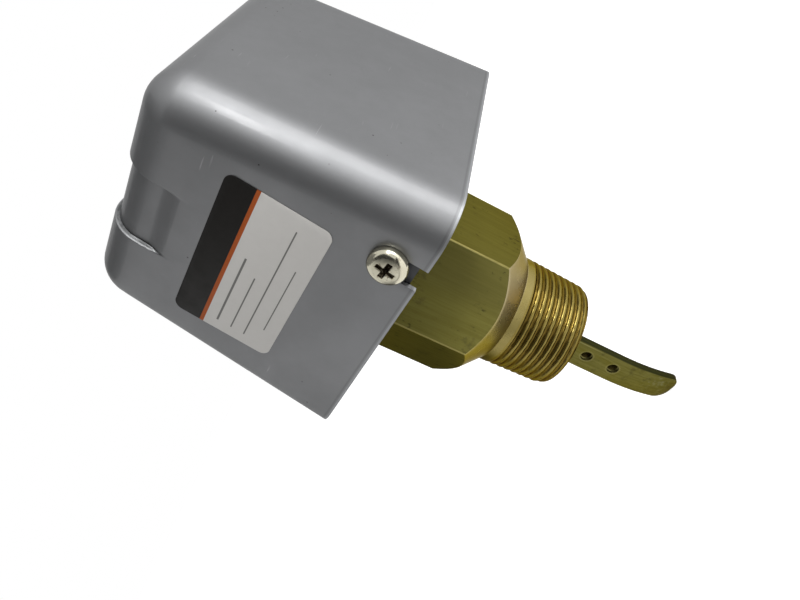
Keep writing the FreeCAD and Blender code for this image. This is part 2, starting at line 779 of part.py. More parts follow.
def make_paddle(screw_holes):
    """The paddle arm: a strip with two holes, its end bent back and its corners rounded."""
    half = "paddle_width / 2"
    straight = box(f"-{half}", half, "-paddle_front", "-paddle_back", "-paddle_straight",
                   "paddle_top")
    centre = "paddle_bend_radius - paddle_back"
    bend = cut(cylinder("paddle_bend_radius + paddle_thick", "paddle_width", f"-{half}", centre,
                        "-paddle_straight", "X"),
               cylinder("paddle_bend_radius", "paddle_width", f"-{half}", centre,
                        "-paddle_straight", "X"))
    tail = common(bend, box(f"-{half}", half, "-paddle_front - 1", centre,
                            "-paddle_tip", "-paddle_straight"))
    reach = "paddle_bend_radius"
    outline = [
        box(f"-{half}", half, "-paddle_front - 1", reach, "paddle_corner - paddle_tip",
            "paddle_top"),
        box(f"-{half} + paddle_corner", f"{half} - paddle_corner", "-paddle_front - 1", reach,
            "-paddle_tip", "paddle_top")]
    for side in (-1, 1):
        outline.append(cylinder("paddle_corner", f"paddle_front + 1 + {reach}",
                                f"{side} * ({half} - paddle_corner)", "-paddle_front - 1",
                                "paddle_corner - paddle_tip", "Y"))
    mount_holes = []
    collars = []
    for index in (0, 1):
        level = f"-paddle_hole_first - {index} * paddle_hole_pitch"
        mount_holes.append(cylinder("paddle_hole_radius",
                                    "3 * paddle_thick + collar_height", "0",
                                    "-paddle_front - paddle_thick", level, "Y"))
        # the drawn collar that gives a tapped hole its depth
        collars.append(cylinder("collar_radius", "paddle_thick + collar_height", "0",
                                "-paddle_front", level, "Y"))
    strip = common(fuse(straight, tail), fuse(*outline))
    part("paddle_arm", cut(fuse(strip, *collars), *screw_holes, *mount_holes))


# ---------------------------------------------------------------- switch and adjuster


def make_bracket():
    back = "bracket_back"
    foot_middle = f"{back} + bracket_foot / 2"
    solids = [
        box("-bracket_half_width", "bracket_half_width", "bracket_front", back, "plate_top",
            "bracket_top"),
        box("-bracket_half_width", "bracket_half_width", "bracket_front",
            f"{back} + bracket_foot", "plate_top", "plate_top + bracket_thick"),
        box("-bracket_shelf_half", "bracket_shelf_half", f"{back} - bracket_shelf_depth", back,
            "shelf_level", "bracket_top")]
    window_low = "hub_top - stop_gap"
    cuts = [
        box("-window_half_width", "window_half_width", "bracket_front - 1", f"{back} + 1",
            window_low, f"{window_low} + window_height"),
        cylinder("adjuster_radius + screw_gap", "3 * bracket_thick", "0", "adjuster_place",
                 "shelf_level - bracket_thick")]
    for side in (-1, 1):
        cuts.append(cylinder("screw_radius + screw_gap", "3 * bracket_thick",
                             f"{side} * switch_hole_pitch / 2", "bracket_front - bracket_thick",
                             "switch_hole_level", "Y"))
        cuts.append(cylinder("screw_radius + screw_gap", "3 * bracket_thick",
                             f"{side} * bracket_screw_side", foot_middle,
                             "plate_top - bracket_thick"))
    part("switch_bracket", cut(fuse(*solids), *cuts))
    feet = [at(screw("screw_radius", "bracket_thick + sheet_thick + screw_tail", "screw_head_radius",
                     "screw_head_height"),
               f"{side} * bracket_screw_side", foot_middle, "plate_top + bracket_thick")
            for side in (-1, 1)]
    part("bracket_screws", group(*feet))


def make_switch():
    half = "switch_length / 2"
    hole_level = "switch_hole_level"
    holes = [cylinder("screw_radius + screw_gap", "switch_depth + 6",
                      f"{side} * switch_hole_pitch / 2", "bracket_back - 1", hole_level, "Y")
             for side in (-1, 1)]
    sheet_piece = box(f"-{half} + 1", f"{half} - 1", "bracket_back", "switch_front",
                      "switch_bottom + 0.5", "bracket_top + 2")
    part("insulation_sheet", cut(sheet_piece, *holes))
    plunger_top = "arm_top + trip_head_height + trip_gap + plunger_length"
    well = cylinder("plunger_radius + plunger_clearance",
                    f"{plunger_top} + plunger_room - switch_bottom + 1", "0", "switch_middle",
                    "switch_bottom - 1")
    case = box(f"-{half}", half, "switch_front", "switch_back", "switch_bottom", "lid_bottom")
    part("switch_case", cut(case, well, *holes))
    part("switch_plunger", at(turned([
        ("0", "0"), ("0.7 * plunger_radius", "0"), ("plunger_radius", "0.7"),
        ("plunger_radius", "plunger_length"), ("0", "plunger_length")]),
        "0", "switch_middle", "arm_top + trip_head_height + trip_gap"))
    tabs = []
    tab_screws = []
    bores = []
    for index in (-1, 0, 1):
        x = f"{index} * terminal_pitch"
        bore = cylinder("terminal_screw_radius + fit_gap", "terminal_screw_length + 1", x,
                        "switch_middle",
                        "switch_top + terminal_thick - terminal_screw_length - side_gap")
        bores.append(bore)
        plate = box(f"{x} - terminal_half", f"{x} + terminal_half",
                    "switch_middle - terminal_half", "switch_middle + terminal_half",
                    "switch_top", "switch_top + terminal_thick")
        tabs.append(cut(plate, bore))
        tab_screws.append(at(screw("terminal_screw_radius", "terminal_screw_length",
                                   "terminal_screw_head", "terminal_screw_head - 1", 1),
                             x, "switch_middle", "switch_top + terminal_thick"))
    lid = box(f"-{half}", half, "switch_front", "switch_back", "lid_bottom", "switch_top")
    part("switch_lid", cut(lid, *bores))
    part("terminals", group(*tabs))
    part("terminal_screws", group(*tab_screws))
    back_turn = FreeCAD.Rotation(Vector(1, 0, 0), -90)
    long_screws = []
    nuts = []
    grip = "switch_back - bracket_front + small_nut_thick"
    for side in (-1, 1):
        x = f"{side} * switch_hole_pitch / 2"
        long_screws.append(at(screw("screw_radius", grip, "screw_head_radius",
                                    "screw_head_height"), x, "switch_back", hole_level,
                              back_turn))
        nuts.append(hex_nut("small_nut_across", "small_nut_thick", "screw_radius + screw_gap", x,
                            "bracket_front - small_nut_thick", hole_level, back_turn))
    part("switch_screws", group(*long_screws))
    part("switch_nuts", group(*nuts))


def make_adjuster():
    y = "adjuster_place"
    head = cut(prism("adjuster_head_across", "adjuster_head_height", "0", y, "bracket_top"),
               box("-adjuster_head_across", "adjuster_head_across", f"{y} - adjuster_slot / 2",
                   f"{y} + adjuster_slot / 2",
                   "bracket_top + 0.5 * adjuster_head_height",
                   "bracket_top + 2 * adjuster_head_height"))
    neck_low = "shelf_level - clip_gap - clip_thick"
    groove = ring("adjuster_radius + 1", "adjuster_radius - 0.6", "clip_thick + 0.1", "0", y,
                  f"{neck_low} - fit_gap")
    part("adjusting_screw", cut(
        fuse(head, cylinder("adjuster_radius", "adjuster_length + 0.1", "0", y,
                            "bracket_top - adjuster_length")), groove))
    clip = ring("adjuster_radius + 2", "adjuster_radius - 0.6 + fit_gap", "clip_thick", "0", y,
                neck_low)
    part("adjuster_clip", cut(clip, box("-0.6 * adjuster_radius", "0.6 * adjuster_radius",
                                        f"{y} - adjuster_radius - 3", y,
                                        neck_low, f"{neck_low} + clip_thick")))
    flange = cylinder("seat_flange_radius", "seat_thick", "0", y, "seat_bottom")
    tab = box("-seat_tab_half", "seat_tab_half", y, "bracket_front - side_gap", "seat_bottom",
              "seat_top")
    part("spring_seat", cut(fuse(flange, tab), cylinder("adjuster_radius + fit_gap", "seat_thick",
                                                        "0", y, "seat_bottom")))
    make_spring()


def make_spring():
    """The range spring, wound between the switch arm and the spring seat."""
    helix = doc.addObject("Part::Helix", "spring_path")
    rise = "(seat_bottom - arm_top - 2 * spring_wire_radius - 2 * head_gap)"
    bind(helix, Radius="spring_radius", Height=rise, Pitch=f"{rise} / spring_turns")
    put(helix, "0", "adjuster_place", "arm_top + spring_wire_radius + head_gap")
    wire = doc.addObject("Part::Circle", "spring_wire")
    bind(wire, Radius="spring_wire_radius")
    put(wire, "spring_radius", "adjuster_place", "arm_top + spring_wire_radius + head_gap",
        FreeCAD.Rotation(Vector(1, 0, 0), 90))
    sweep = doc.addObject("Part::Sweep", "spring")
    sweep.Sections = [wire]
    sweep.Spine = (helix, ["Edge1"])
    sweep.Solid = True
    sweep.Frenet = True
    part("range_spring", sweep)


make_body()
make_bellows_seal()
make_base_plate()
make_grommet()
make_pivot()
make_lever()
make_bracket()
make_switch()
make_adjuster()
make_cover()
make_label()
make_cover_screws()
doc.recompute()

for item in doc.Objects:
    if "Invalid" in item.State or "Error" in item.State:
        raise RuntimeError(f"{item.Label} failed: {item.State}")
for item in parts:
    if item.Shape.isNull() or not item.Shape.isValid() or not item.Shape.Solids:
        raise RuntimeError(f"{item.Label} has no valid solid")

os.makedirs("parts", exist_ok=True)
for item in parts:
    item.Shape.exportStep(f"parts/{item.Label}.step")
print(len(parts), "sub-parts written")
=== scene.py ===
import json
import math

import bmesh
import bpy
import numpy as np
from mathutils import Matrix, Vector


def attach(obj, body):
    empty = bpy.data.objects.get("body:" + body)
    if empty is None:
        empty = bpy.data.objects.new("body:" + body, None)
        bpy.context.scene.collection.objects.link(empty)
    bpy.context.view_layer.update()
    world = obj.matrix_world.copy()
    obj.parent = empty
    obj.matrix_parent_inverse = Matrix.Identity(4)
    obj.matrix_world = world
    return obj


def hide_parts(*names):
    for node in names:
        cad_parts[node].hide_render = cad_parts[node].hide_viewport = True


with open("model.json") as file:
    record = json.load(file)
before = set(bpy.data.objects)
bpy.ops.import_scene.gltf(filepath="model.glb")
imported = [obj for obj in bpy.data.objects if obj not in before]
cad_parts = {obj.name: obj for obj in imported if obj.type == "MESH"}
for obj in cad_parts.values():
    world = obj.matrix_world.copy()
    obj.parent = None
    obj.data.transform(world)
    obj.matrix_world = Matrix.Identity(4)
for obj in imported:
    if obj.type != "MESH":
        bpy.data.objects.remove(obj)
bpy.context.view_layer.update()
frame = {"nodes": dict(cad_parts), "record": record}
MM = 0.001

# ---------------------------------------------------------------- sizes in millimetres

# the cover: its rim and crown, its walls at the rim, and how far they lean
RIM, CROWN = 43.1, 101.7
HALF_WIDTH, FRONT, BACK = 35.1, -27.2, 45.1
FRONT_LEAN, SIDE_LEAN, BACK_LEAN = (math.radians(a) for a in (6.9, 6.7, 1.5))
CORNER = 8.7
WALL = 1.0
RIM_ROUNDING = 0.22
# the pressed recess, and the widths over which its lips fall
RECESS_DEPTH = 0.9
RECESS_HALF, RECESS_DROP, RECESS_RUN = 8.0, 13.0, 14.0
LIP_CRISP, LIP_SOFT, LIP_LEAD, LIP_RUN_OUT = 0.36, 0.7, 1.0, 5.0
LIP_LEVEL = CROWN - RECESS_DROP
# the cover's mesh: points along a wall, rows up it, and steps around its roundings
WALL_STEPS, WALL_ROWS, CROWN_ROWS, ARC_STEPS = 25, 22, 14, 12
CLOSEST_STEP = 0.05

# the cover screws, which stand in open slots in the front and back walls
SCREW_X, SCREW_RISE, HEAD_GAP = 19.6, 6.9, 0.1
SCREW_LEVEL = RIM + SCREW_RISE
FRONT_SEAT = FRONT + math.tan(FRONT_LEAN) * SCREW_RISE - math.cos(FRONT_LEAN) * HEAD_GAP
REAR_SEAT = BACK - math.tan(BACK_LEAN) * SCREW_RISE + math.cos(BACK_LEAN) * HEAD_GAP
BETWEEN_SEATS = 10.0
SLOT_HALF = 2.65
HEAD_RADIUS, HEAD_HEIGHT, HEAD_FOOT = 4.0, 2.5, 0.3
SHANK_RADIUS, SHANK_LENGTH, SHANK_THREAD, HALF_PITCH = 2.0, 8.0, 0.22, 0.15
# the cross: its level, half length and half thickness above and at its foot
CROSS = ((2.8, 2.35, 0.60), (0.75, 0.95, 0.34))

# the label's middle up the front wall, its turn, and its stripe, band and ruled lines
LABEL_RISE, LABEL_TURN = 29.0, math.radians(-1.3)
STRIPE_FOOT, BAND_FOOT, PRINT_EDGE = 4.05, 4.90, 0.04
RULED_LINES = ((-16.6, 3.0, 1.3, 1.75), (-16.6, -0.5, -1.75, -1.45),
               (-16.6, 15.4, -4.75, -4.45), (-12.4, 6.6, -8.0, -7.75))

# the body, from its free end at level 0
THREAD_RADIUS, THREAD_LENGTH, PITCH, THREAD_DEPTH = 12.92, 14.0, 1.814, 0.55
ROUND_SHARE, THREAD_END, THREAD_FADE = 0.55, 15.4, 1.1
# the thread's chatter marks, whose waves drift from turn to turn
CHATTER, CHATTER_WAVES, CHATTER_DRIFT, CHATTER_RATE = 0.020, 34, 2.4, 3.1
TAPER = math.tan(math.radians(1.79))
END_RADIUS, END_CHAMFER = 12.4, 1.3
BORE, BORE_CHAMFER = 8.5, 0.35
NECK_RADIUS = THREAD_RADIUS + TAPER * THREAD_LENGTH
NECK_TOP, CONE_RISE = 17.2, 7.5
HALF_FLATS, HEX_TURN = 18.0, math.radians(30 + 2.3)
HEX_CORNER = HALF_FLATS * 2 / math.sqrt(3)
CONE_SLOPE = CONE_RISE / (HEX_CORNER - NECK_RADIUS)
# where the drawn part meets the CAD node's mesh, under the cover
JOIN, JOIN_OVERLAP = 43.9, 0.03
CHAMBER_FLOOR, CHAMBER_RADIUS = 29.0, 10.2
HEX_EDGE, CHAMBER_EDGE = 0.13, 0.14

# the paddle arm's holes
PADDLE_FRONT = -2.5
HOLE_LEVELS = (-8.0, -15.8)
HOLE_RADIUS, HOLE_CREST, HOLE_ROOT, HOLE_STEP = 1.50, 1.25, 1.46, 0.25

# ---------------------------------------------------------------- shader helpers


class Shader:
    """A principled material that is built up from procedural nodes."""

    def __init__(self, name):
        self.material = bpy.data.materials.new(name)
        self.material.use_nodes = True
        self.tree = self.material.node_tree
        self.base = self.tree.nodes["Principled BSDF"]
        self.place = self.node("ShaderNodeTexCoord").outputs["Object"]

    def node(self, kind, **settings):
        item = self.tree.nodes.new(kind)
        for key, setting in settings.items():
            setattr(item, key, setting)
        return item

    def feed(self, socket, source):
        if isinstance(source, bpy.types.NodeSocket):
            self.tree.links.new(source, socket)
        else:
            socket.default_value = source

    def set(self, **sockets):
        for key, source in sockets.items():
            self.feed(self.base.inputs[key.replace("_", " ")], source)

    def scaled(self, x, y, z):
        item = self.node("ShaderNodeMapping")
        self.feed(item.inputs["Vector"], self.place)
        item.inputs["Scale"].default_value = (x, y, z)
        return item.outputs["Vector"]

    def noise(self, scale, detail=4.0, roughness=0.6, place=None, distortion=0.0):
        item = self.node("ShaderNodeTexNoise")
        self.feed(item.inputs["Vector"], place or self.place)
        item.inputs["Scale"].default_value = scale
        item.inputs["Detail"].default_value = detail
        item.inputs["Roughness"].default_value = roughness
        item.inputs["Distortion"].default_value = distortion
        return item.outputs["Fac"]

    def cells(self, scale):
        item = self.node("ShaderNodeTexVoronoi")
        self.feed(item.inputs["Vector"], self.place)
        item.inputs["Scale"].default_value = scale
        return item.outputs["Distance"]

    def math(self, operation, a, b=0.0):
        item = self.node("ShaderNodeMath", operation=operation)
        for socket, source in zip(item.inputs, (a, b)):
            self.feed(socket, source)
        return item.outputs["Value"]

    def plus(self, a, b):
        return self.math("ADD", a, b)

    def minus(self, a, b):
        return self.math("SUBTRACT", a, b)

    def times(self, a, b):
        return self.math("MULTIPLY", a, b)

    def reach(self, a, b):
        """The distance that two sides at a right angle span."""
        return self.math("SQRT", self.plus(self.times(a, a), self.times(b, b)))

    def ramp(self, source, low, high, start=0.0, end=1.0):
        """A smooth change from start to end while the source goes from low to high."""
        item = self.node("ShaderNodeMapRange", interpolation_type="SMOOTHSTEP")
        self.feed(item.inputs["Value"], source)
        item.inputs["From Min"].default_value = low
        item.inputs["From Max"].default_value = high
        item.inputs["To Min"].default_value = start
        item.inputs["To Max"].default_value = end
        return item.outputs["Result"]

    def span(self, source, low, high, start=0.0, end=1.0):
        """A ramp whose low and high are places in millimetres."""
        return self.ramp(source, low * MM, high * MM, start, end)

    def band(self, source, outer_low, low, high, outer_high):
        """1 from low to high and 0 outside the outer places, in millimetres."""
        return self.times(self.span(source, outer_low, low), self.span(source, outer_high, high))

    def mix(self, share, a, b):
        item = self.node("ShaderNodeMix", data_type="RGBA")
        self.feed(item.inputs["Factor"], share)
        self.feed(item.inputs["A"], a)
        self.feed(item.inputs["B"], b)
        return item.outputs["Result"]

    def split(self):
        """The place in the part's own frame, in metres, as x, y and z."""
        item = self.node("ShaderNodeSeparateXYZ")
        self.feed(item.inputs["Vector"], self.place)
        return item.outputs["X"], item.outputs["Y"], item.outputs["Z"]

    def bump(self, height, strength, distance):
        item = self.node("ShaderNodeBump")
        item.inputs["Strength"].default_value = strength
        item.inputs["Distance"].default_value = distance
        self.feed(item.inputs["Height"], height)
        self.set(Normal=item.outputs["Normal"])


def tint(red, green, blue):
    """A colour with its alpha, from linear red, green and blue."""
    return (red, green, blue, 1.0)


def metal(name, low, high, roughness, grain=(900, 900, 900)):
    """A plain metal with mottling, fine grain and uneven gloss."""
    s = Shader(name)
    cloud = s.noise(140, 5)
    fine = s.noise(1.0, 6, 0.7, s.scaled(*grain))
    share = s.plus(s.times(cloud, 0.6), s.times(fine, 0.4))
    s.set(Base_Color=s.mix(s.ramp(share, 0.35, 0.65), tint(*low), tint(*high)), Metallic=1.0,
          Roughness=s.ramp(share, 0.3, 0.7, roughness + 0.08, roughness - 0.06))
    s.bump(fine, 0.25, 0.00002)
    return s.material


def plastic(name, low, high, roughness, scale=300, bump=0.15):
    """A matt plastic, rubber or paint with faint mottling."""
    s = Shader(name)
    cloud = s.noise(scale, 4)
    s.set(Base_Color=s.mix(cloud, tint(*low), tint(*high)),
          Roughness=s.ramp(cloud, 0.3, 0.7, roughness - 0.05, roughness + 0.05))
    s.bump(s.noise(scale * 6, 3), bump, 0.00001)
    return s.material


# ---------------------------------------------------------------- materials


def cover_paint():
    """Silver paint: faint orange peel, dust specks, hairline scratches and soft soiling, with
    painted shade at the recess's lip and above the rim, and a painted highlight on the rim's edge.
    """
    s = Shader("cover_paint")
    soil = s.noise(45, 5, 0.62)
    specks = s.times(s.ramp(s.cells(330), 0.075, 0.045), s.ramp(s.noise(70, 2), 0.56, 0.63))
    scratch = s.noise(1.0, 2, 0.5, s.scaled(90, 90, 1800), 0.4)
    scratch = s.times(s.ramp(scratch, 0.69, 0.73), s.ramp(s.noise(60, 2), 0.5, 0.62))
    colour = s.mix(s.ramp(soil, 0.3, 0.72), tint(0.196, 0.199, 0.203), tint(0.222, 0.225, 0.230))
    colour = s.mix(s.times(scratch, 0.45), colour, tint(0.42, 0.42, 0.42))
    colour = s.mix(s.times(specks, 0.85), colour, tint(0.035, 0.03, 0.028))
    x, y, z = s.split()
    # painted shade along the foot of the recess's crisp lip, from the recess's end upwards
    lip_foot_shade = s.band(x, -RECESS_HALF - 0.10, -RECESS_HALF + 0.01,
                  -RECESS_HALF + 0.25, -RECESS_HALF + 0.65)
    lip_foot_shade = s.times(lip_foot_shade, s.span(z, LIP_LEVEL - 1.2, LIP_LEVEL + 0.8))
    lip_foot_shade = s.times(lip_foot_shade, s.span(y, -6.0, -9.0))
    patchy = s.ramp(s.noise(700, 3), 0.35, 0.6, 0.45, 0.8)
    colour = s.mix(s.times(lip_foot_shade, patchy), colour, tint(0.035, 0.037, 0.037))
    # the rim's edge as a painted highlight, under a faint painted shade line
    rim_shade_line = s.band(z, RIM + 0.65, RIM + 0.85, RIM + 0.95, RIM + 1.20)
    colour = s.mix(s.times(rim_shade_line, 0.22), colour, tint(0.06, 0.06, 0.06))
    colour = s.mix(s.span(z, RIM + 0.55, RIM + 0.40, 0.0, 0.6), colour, tint(0.36, 0.37, 0.38))
    s.set(Base_Color=colour, Metallic=0.92, Roughness=s.ramp(soil, 0.3, 0.7, 0.50, 0.45),
          Specular_Tint=tint(0.4, 0.4, 0.4), Coat_Weight=0.20, Coat_Roughness=0.13)
    s.bump(s.noise(2300, 2, 0.5), 0.06, 0.00003)
    return s.material


def body_brass():
    """Drawn and turned brass: grain along the flats, stains, brown thread roots darkened by painted
    shade, painted shade on the flats towards +X and a painted sheen on the cone.
    """
    s = Shader("body_brass")
    x, y, z = s.split()
    radius = s.reach(x, y)
    grain = s.noise(1.0, 6, 0.72, s.scaled(1500, 1500, 60))
    stain = s.noise(1.0, 5, 0.65, s.scaled(330, 330, 130), 0.6)
    cloud = s.noise(60, 4, 0.6)

    # the turned end: browner in the thread, and darkest in its roots, by painted shade
    turned = s.mix(s.ramp(cloud, 0.35, 0.65), tint(0.20, 0.160, 0.050), tint(0.26, 0.215, 0.08))
    turned = s.mix(s.times(s.ramp(stain, 0.60, 0.74), 0.4), turned, tint(0.16, 0.09, 0.03))
    crest = s.plus(s.times(z, TAPER), THREAD_RADIUS * MM)
    in_thread = s.math("LESS_THAN", z, (THREAD_END - 0.1) * MM)
    root_shade = s.times(s.span(s.minus(crest, radius), 0.10, 0.58), in_thread)
    turned = s.mix(s.times(in_thread, 0.6), turned, tint(0.19, 0.14, 0.028))
    turned = s.mix(root_shade, turned, tint(0.115, 0.076, 0.014))

    # the flats: darker towards +X by painted shade, with stains, specks, smudges and pale corners
    flat = s.mix(s.ramp(grain, 0.36, 0.64), tint(0.133, 0.120, 0.028), tint(0.160, 0.146, 0.037))
    # painted shade: the flats towards +X are darkened
    flat = s.mix(s.span(x, 7, 13, 0.0, 0.42), flat, tint(0.075, 0.066, 0.022))
    flat = s.mix(s.times(s.ramp(stain, 0.62, 0.72), 0.6), flat, tint(0.05, 0.04, 0.015))
    speck = s.times(s.ramp(s.noise(1.0, 4, 0.7, s.scaled(900, 900, 500)), 0.57, 0.64),
                    s.ramp(s.noise(110, 2), 0.50, 0.56))
    flat = s.mix(s.times(speck, 0.7), flat, tint(0.035, 0.030, 0.012))
    smudge = s.times(s.ramp(s.noise(240, 5, 0.7), 0.56, 0.68),
                     s.ramp(s.noise(75, 2), 0.48, 0.56))
    flat = s.mix(s.times(smudge, 0.38), flat, tint(0.05, 0.043, 0.02))
    corner = s.span(radius, HEX_CORNER - 0.16, HEX_CORNER - 0.12)
    corner = s.times(corner, s.ramp(cloud, 0.3, 0.45))
    flat = s.mix(corner, flat, tint(0.28, 0.245, 0.085))

    # the cone between them, with a pale painted sheen towards +X
    cone = s.mix(s.ramp(cloud, 0.35, 0.65), tint(0.235, 0.19, 0.065), tint(0.31, 0.26, 0.105))
    cone = s.mix(s.span(x, 5, 15, 0.0, 0.6), cone, tint(0.42, 0.36, 0.25))
    cone_radius = s.plus(s.times(s.minus(z, NECK_TOP * MM), 1 / CONE_SLOPE), NECK_RADIUS * MM)
    on_cone = s.span(s.minus(cone_radius, radius), 0.10, 0.05)
    above_neck = s.span(z, NECK_TOP - 0.2, NECK_TOP + 0.1)

    flat_share = s.times(above_neck, s.minus(1.0, on_cone))
    turned_share = s.minus(1.0, flat_share)
    dull = s.ramp(grain, 0.3, 0.7, 0.46, 0.42)
    gloss = s.ramp(cloud, 0.3, 0.7, 0.30, 0.24)
    s.set(Base_Color=s.mix(above_neck, turned, s.mix(on_cone, flat, cone)), Metallic=0.95,
          Roughness=s.plus(s.times(dull, flat_share), s.times(gloss, turned_share)),
          Specular_Tint=tint(0.4, 0.35, 0.2))
    tool_marks = s.noise(1.0, 3, 0.6, s.scaled(40, 40, 9000))
    height = s.plus(s.times(grain, flat_share), s.times(tool_marks, turned_share))
    s.bump(height, 0.16, 0.00003)
    return s.material


def strip_brass():
    """The paddle arm: dull rolled strip, darker towards its +X edge and paler at the tip."""
    s = Shader("strip_brass")
    x, y, z = s.split()
    grain = s.noise(1.0, 6, 0.7, s.scaled(1800, 900, 120))
    colour = s.mix(s.ramp(grain, 0.36, 0.64), tint(0.100, 0.090, 0.020), tint(0.128, 0.116, 0.032))
    wear = s.times(s.ramp(s.noise(900, 4), 0.5, 0.7), s.span(z, -22, -30))
    colour = s.mix(s.times(wear, 0.25), colour, tint(0.30, 0.30, 0.20))
    stain = s.ramp(s.noise(420, 5, 0.6), 0.56, 0.7)
    colour = s.mix(s.times(stain, 0.45), colour, tint(0.04, 0.037, 0.013))
    # the dark sheared edge, with a painted highlight line beside it near the thread
    line = s.times(s.band(x, 3.05, 3.20, 3.30, 3.45), s.span(z, -13, -6))
    colour = s.mix(s.times(line, 0.5), colour, tint(0.30, 0.28, 0.12))
    colour = s.mix(s.times(s.span(x, 3.45, 3.85), 0.9), colour, tint(0.018, 0.021, 0.008))
    # each hole has a painted highlight ring around it and painted shade inside
    for height in HOLE_LEVELS:
        away = s.reach(x, s.minus(z, height * MM))
        hole_ring_highlight = s.times(s.span(away, HOLE_RADIUS + 0.45, HOLE_RADIUS + 0.32), 0.4)
        colour = s.mix(hole_ring_highlight, colour, tint(0.20, 0.18, 0.07))
        recess_shade = s.times(s.span(y, PADDLE_FRONT + 0.10, PADDLE_FRONT + 0.25),
                       s.span(away, HOLE_RADIUS + 0.12, HOLE_RADIUS + 0.06))
        colour = s.mix(recess_shade, colour, tint(0.040, 0.030, 0.008))
    s.set(Base_Color=colour, Metallic=0.9, Roughness=s.ramp(grain, 0.3, 0.7, 0.42, 0.32),
          Specular_Tint=tint(0.4, 0.35, 0.2))
    s.bump(grain, 0.25, 0.00003)
    return s.material


def nickel_screw():
    """Nickel: a satin face, a glossy shoulder and mottled painted shade in the cross."""
    s = Shader("screw_steel")
    x, y, z = s.split()
    rise = s.minus(z, SCREW_LEVEL * MM)
    away = s.reach(s.minus(s.math("ABSOLUTE", x), SCREW_X * MM), rise)

    def level(seat, way, lean):
        """The height over the seat of a screw that stands in a leaning wall."""
        out = s.times(s.minus(y, seat * MM), way * math.cos(lean))
        return s.plus(out, s.times(rise, math.sin(lean)))

    is_front = s.math("LESS_THAN", y, BETWEEN_SEATS * MM)
    height = s.plus(s.times(level(FRONT_SEAT, -1, FRONT_LEAN), is_front),
                    s.times(level(REAR_SEAT, 1, BACK_LEAN), s.minus(1.0, is_front)))
    cloud = s.noise(500, 4)
    colour = s.mix(cloud, tint(0.49, 0.465, 0.36), tint(0.60, 0.57, 0.45))
    stain = s.ramp(s.noise(900, 4), 0.60, 0.70)
    colour = s.mix(s.times(stain, 0.35), colour, tint(0.16, 0.11, 0.06))
    near = s.times(s.span(away, 2.9, 1.6), s.ramp(s.noise(1500, 4), 0.56, 0.64))
    colour = s.mix(s.times(near, 0.7), colour, tint(0.10, 0.06, 0.03))
    # painted shade in the cross recess, mottled brown
    recess_shade = s.times(s.span(height, HEAD_HEIGHT - 0.2, HEAD_HEIGHT - 0.4),
                   s.span(away, 2.6, 2.45))
    cross_shade_colour = s.mix(s.ramp(s.noise(1900, 4), 0.5, 0.66), tint(0.030, 0.020, 0.012),
                 tint(0.22, 0.19, 0.13))
    colour = s.mix(recess_shade, colour, cross_shade_colour)
    gloss = s.plus(s.span(away, 2.6, 3.1, 0.34, 0.15), s.times(recess_shade, 0.3))
    s.set(Base_Color=colour, Metallic=1.0,
          Roughness=s.plus(gloss, s.ramp(cloud, 0.3, 0.7, 0.0, 0.05)))
    s.bump(s.noise(2500, 3), 0.10, 0.00002)
    return s.material


def label_film():
    """The label: a dark band, an orange stripe and a pale panel with generic ruled lines."""
    s = Shader("label_film")
    x, y, z = s.split()
    # height up the leaning wall over the label's middle, then the label's own tilted axes
    rise = s.plus(s.times(s.minus(z, RIM * MM), math.cos(FRONT_LEAN)),
                  s.times(s.minus(y, FRONT * MM), math.sin(FRONT_LEAN)))
    rise = s.minus(rise, LABEL_RISE * MM)
    across = s.plus(s.times(x, math.cos(LABEL_TURN)), s.times(rise, math.sin(LABEL_TURN)))
    up = s.minus(s.times(rise, math.cos(LABEL_TURN)), s.times(x, math.sin(LABEL_TURN)))

    def inside(source, low, high):
        return s.band(source, low - PRINT_EDGE, low + PRINT_EDGE,
                      high - PRINT_EDGE, high + PRINT_EDGE)

    ink = 0.0
    for left, right, low, high in RULED_LINES:
        line = s.times(inside(across, left, right), inside(up, low, high))
        ink = s.math("MAXIMUM", ink, line)
    colour = s.mix(s.noise(600, 4), tint(0.48, 0.468, 0.447), tint(0.515, 0.503, 0.482))
    colour = s.mix(s.times(ink, 0.8), colour, tint(0.05, 0.048, 0.045))
    colour = s.mix(s.span(up, STRIPE_FOOT - PRINT_EDGE, STRIPE_FOOT + PRINT_EDGE), colour,
                   tint(0.30, 0.066, 0.014))
    dark = s.mix(s.noise(900, 3), tint(0.007, 0.0062, 0.0055), tint(0.011, 0.010, 0.009))
    colour = s.mix(s.span(up, BAND_FOOT - PRINT_EDGE, BAND_FOOT + PRINT_EDGE), colour, dark)
    s.set(Base_Color=colour, Roughness=s.ramp(s.noise(200, 3), 0.3, 0.7, 0.5, 0.6),
          Specular_IOR_Level=0.14)
    s.bump(s.noise(1200, 3), 0.08, 0.00001)
    return s.material


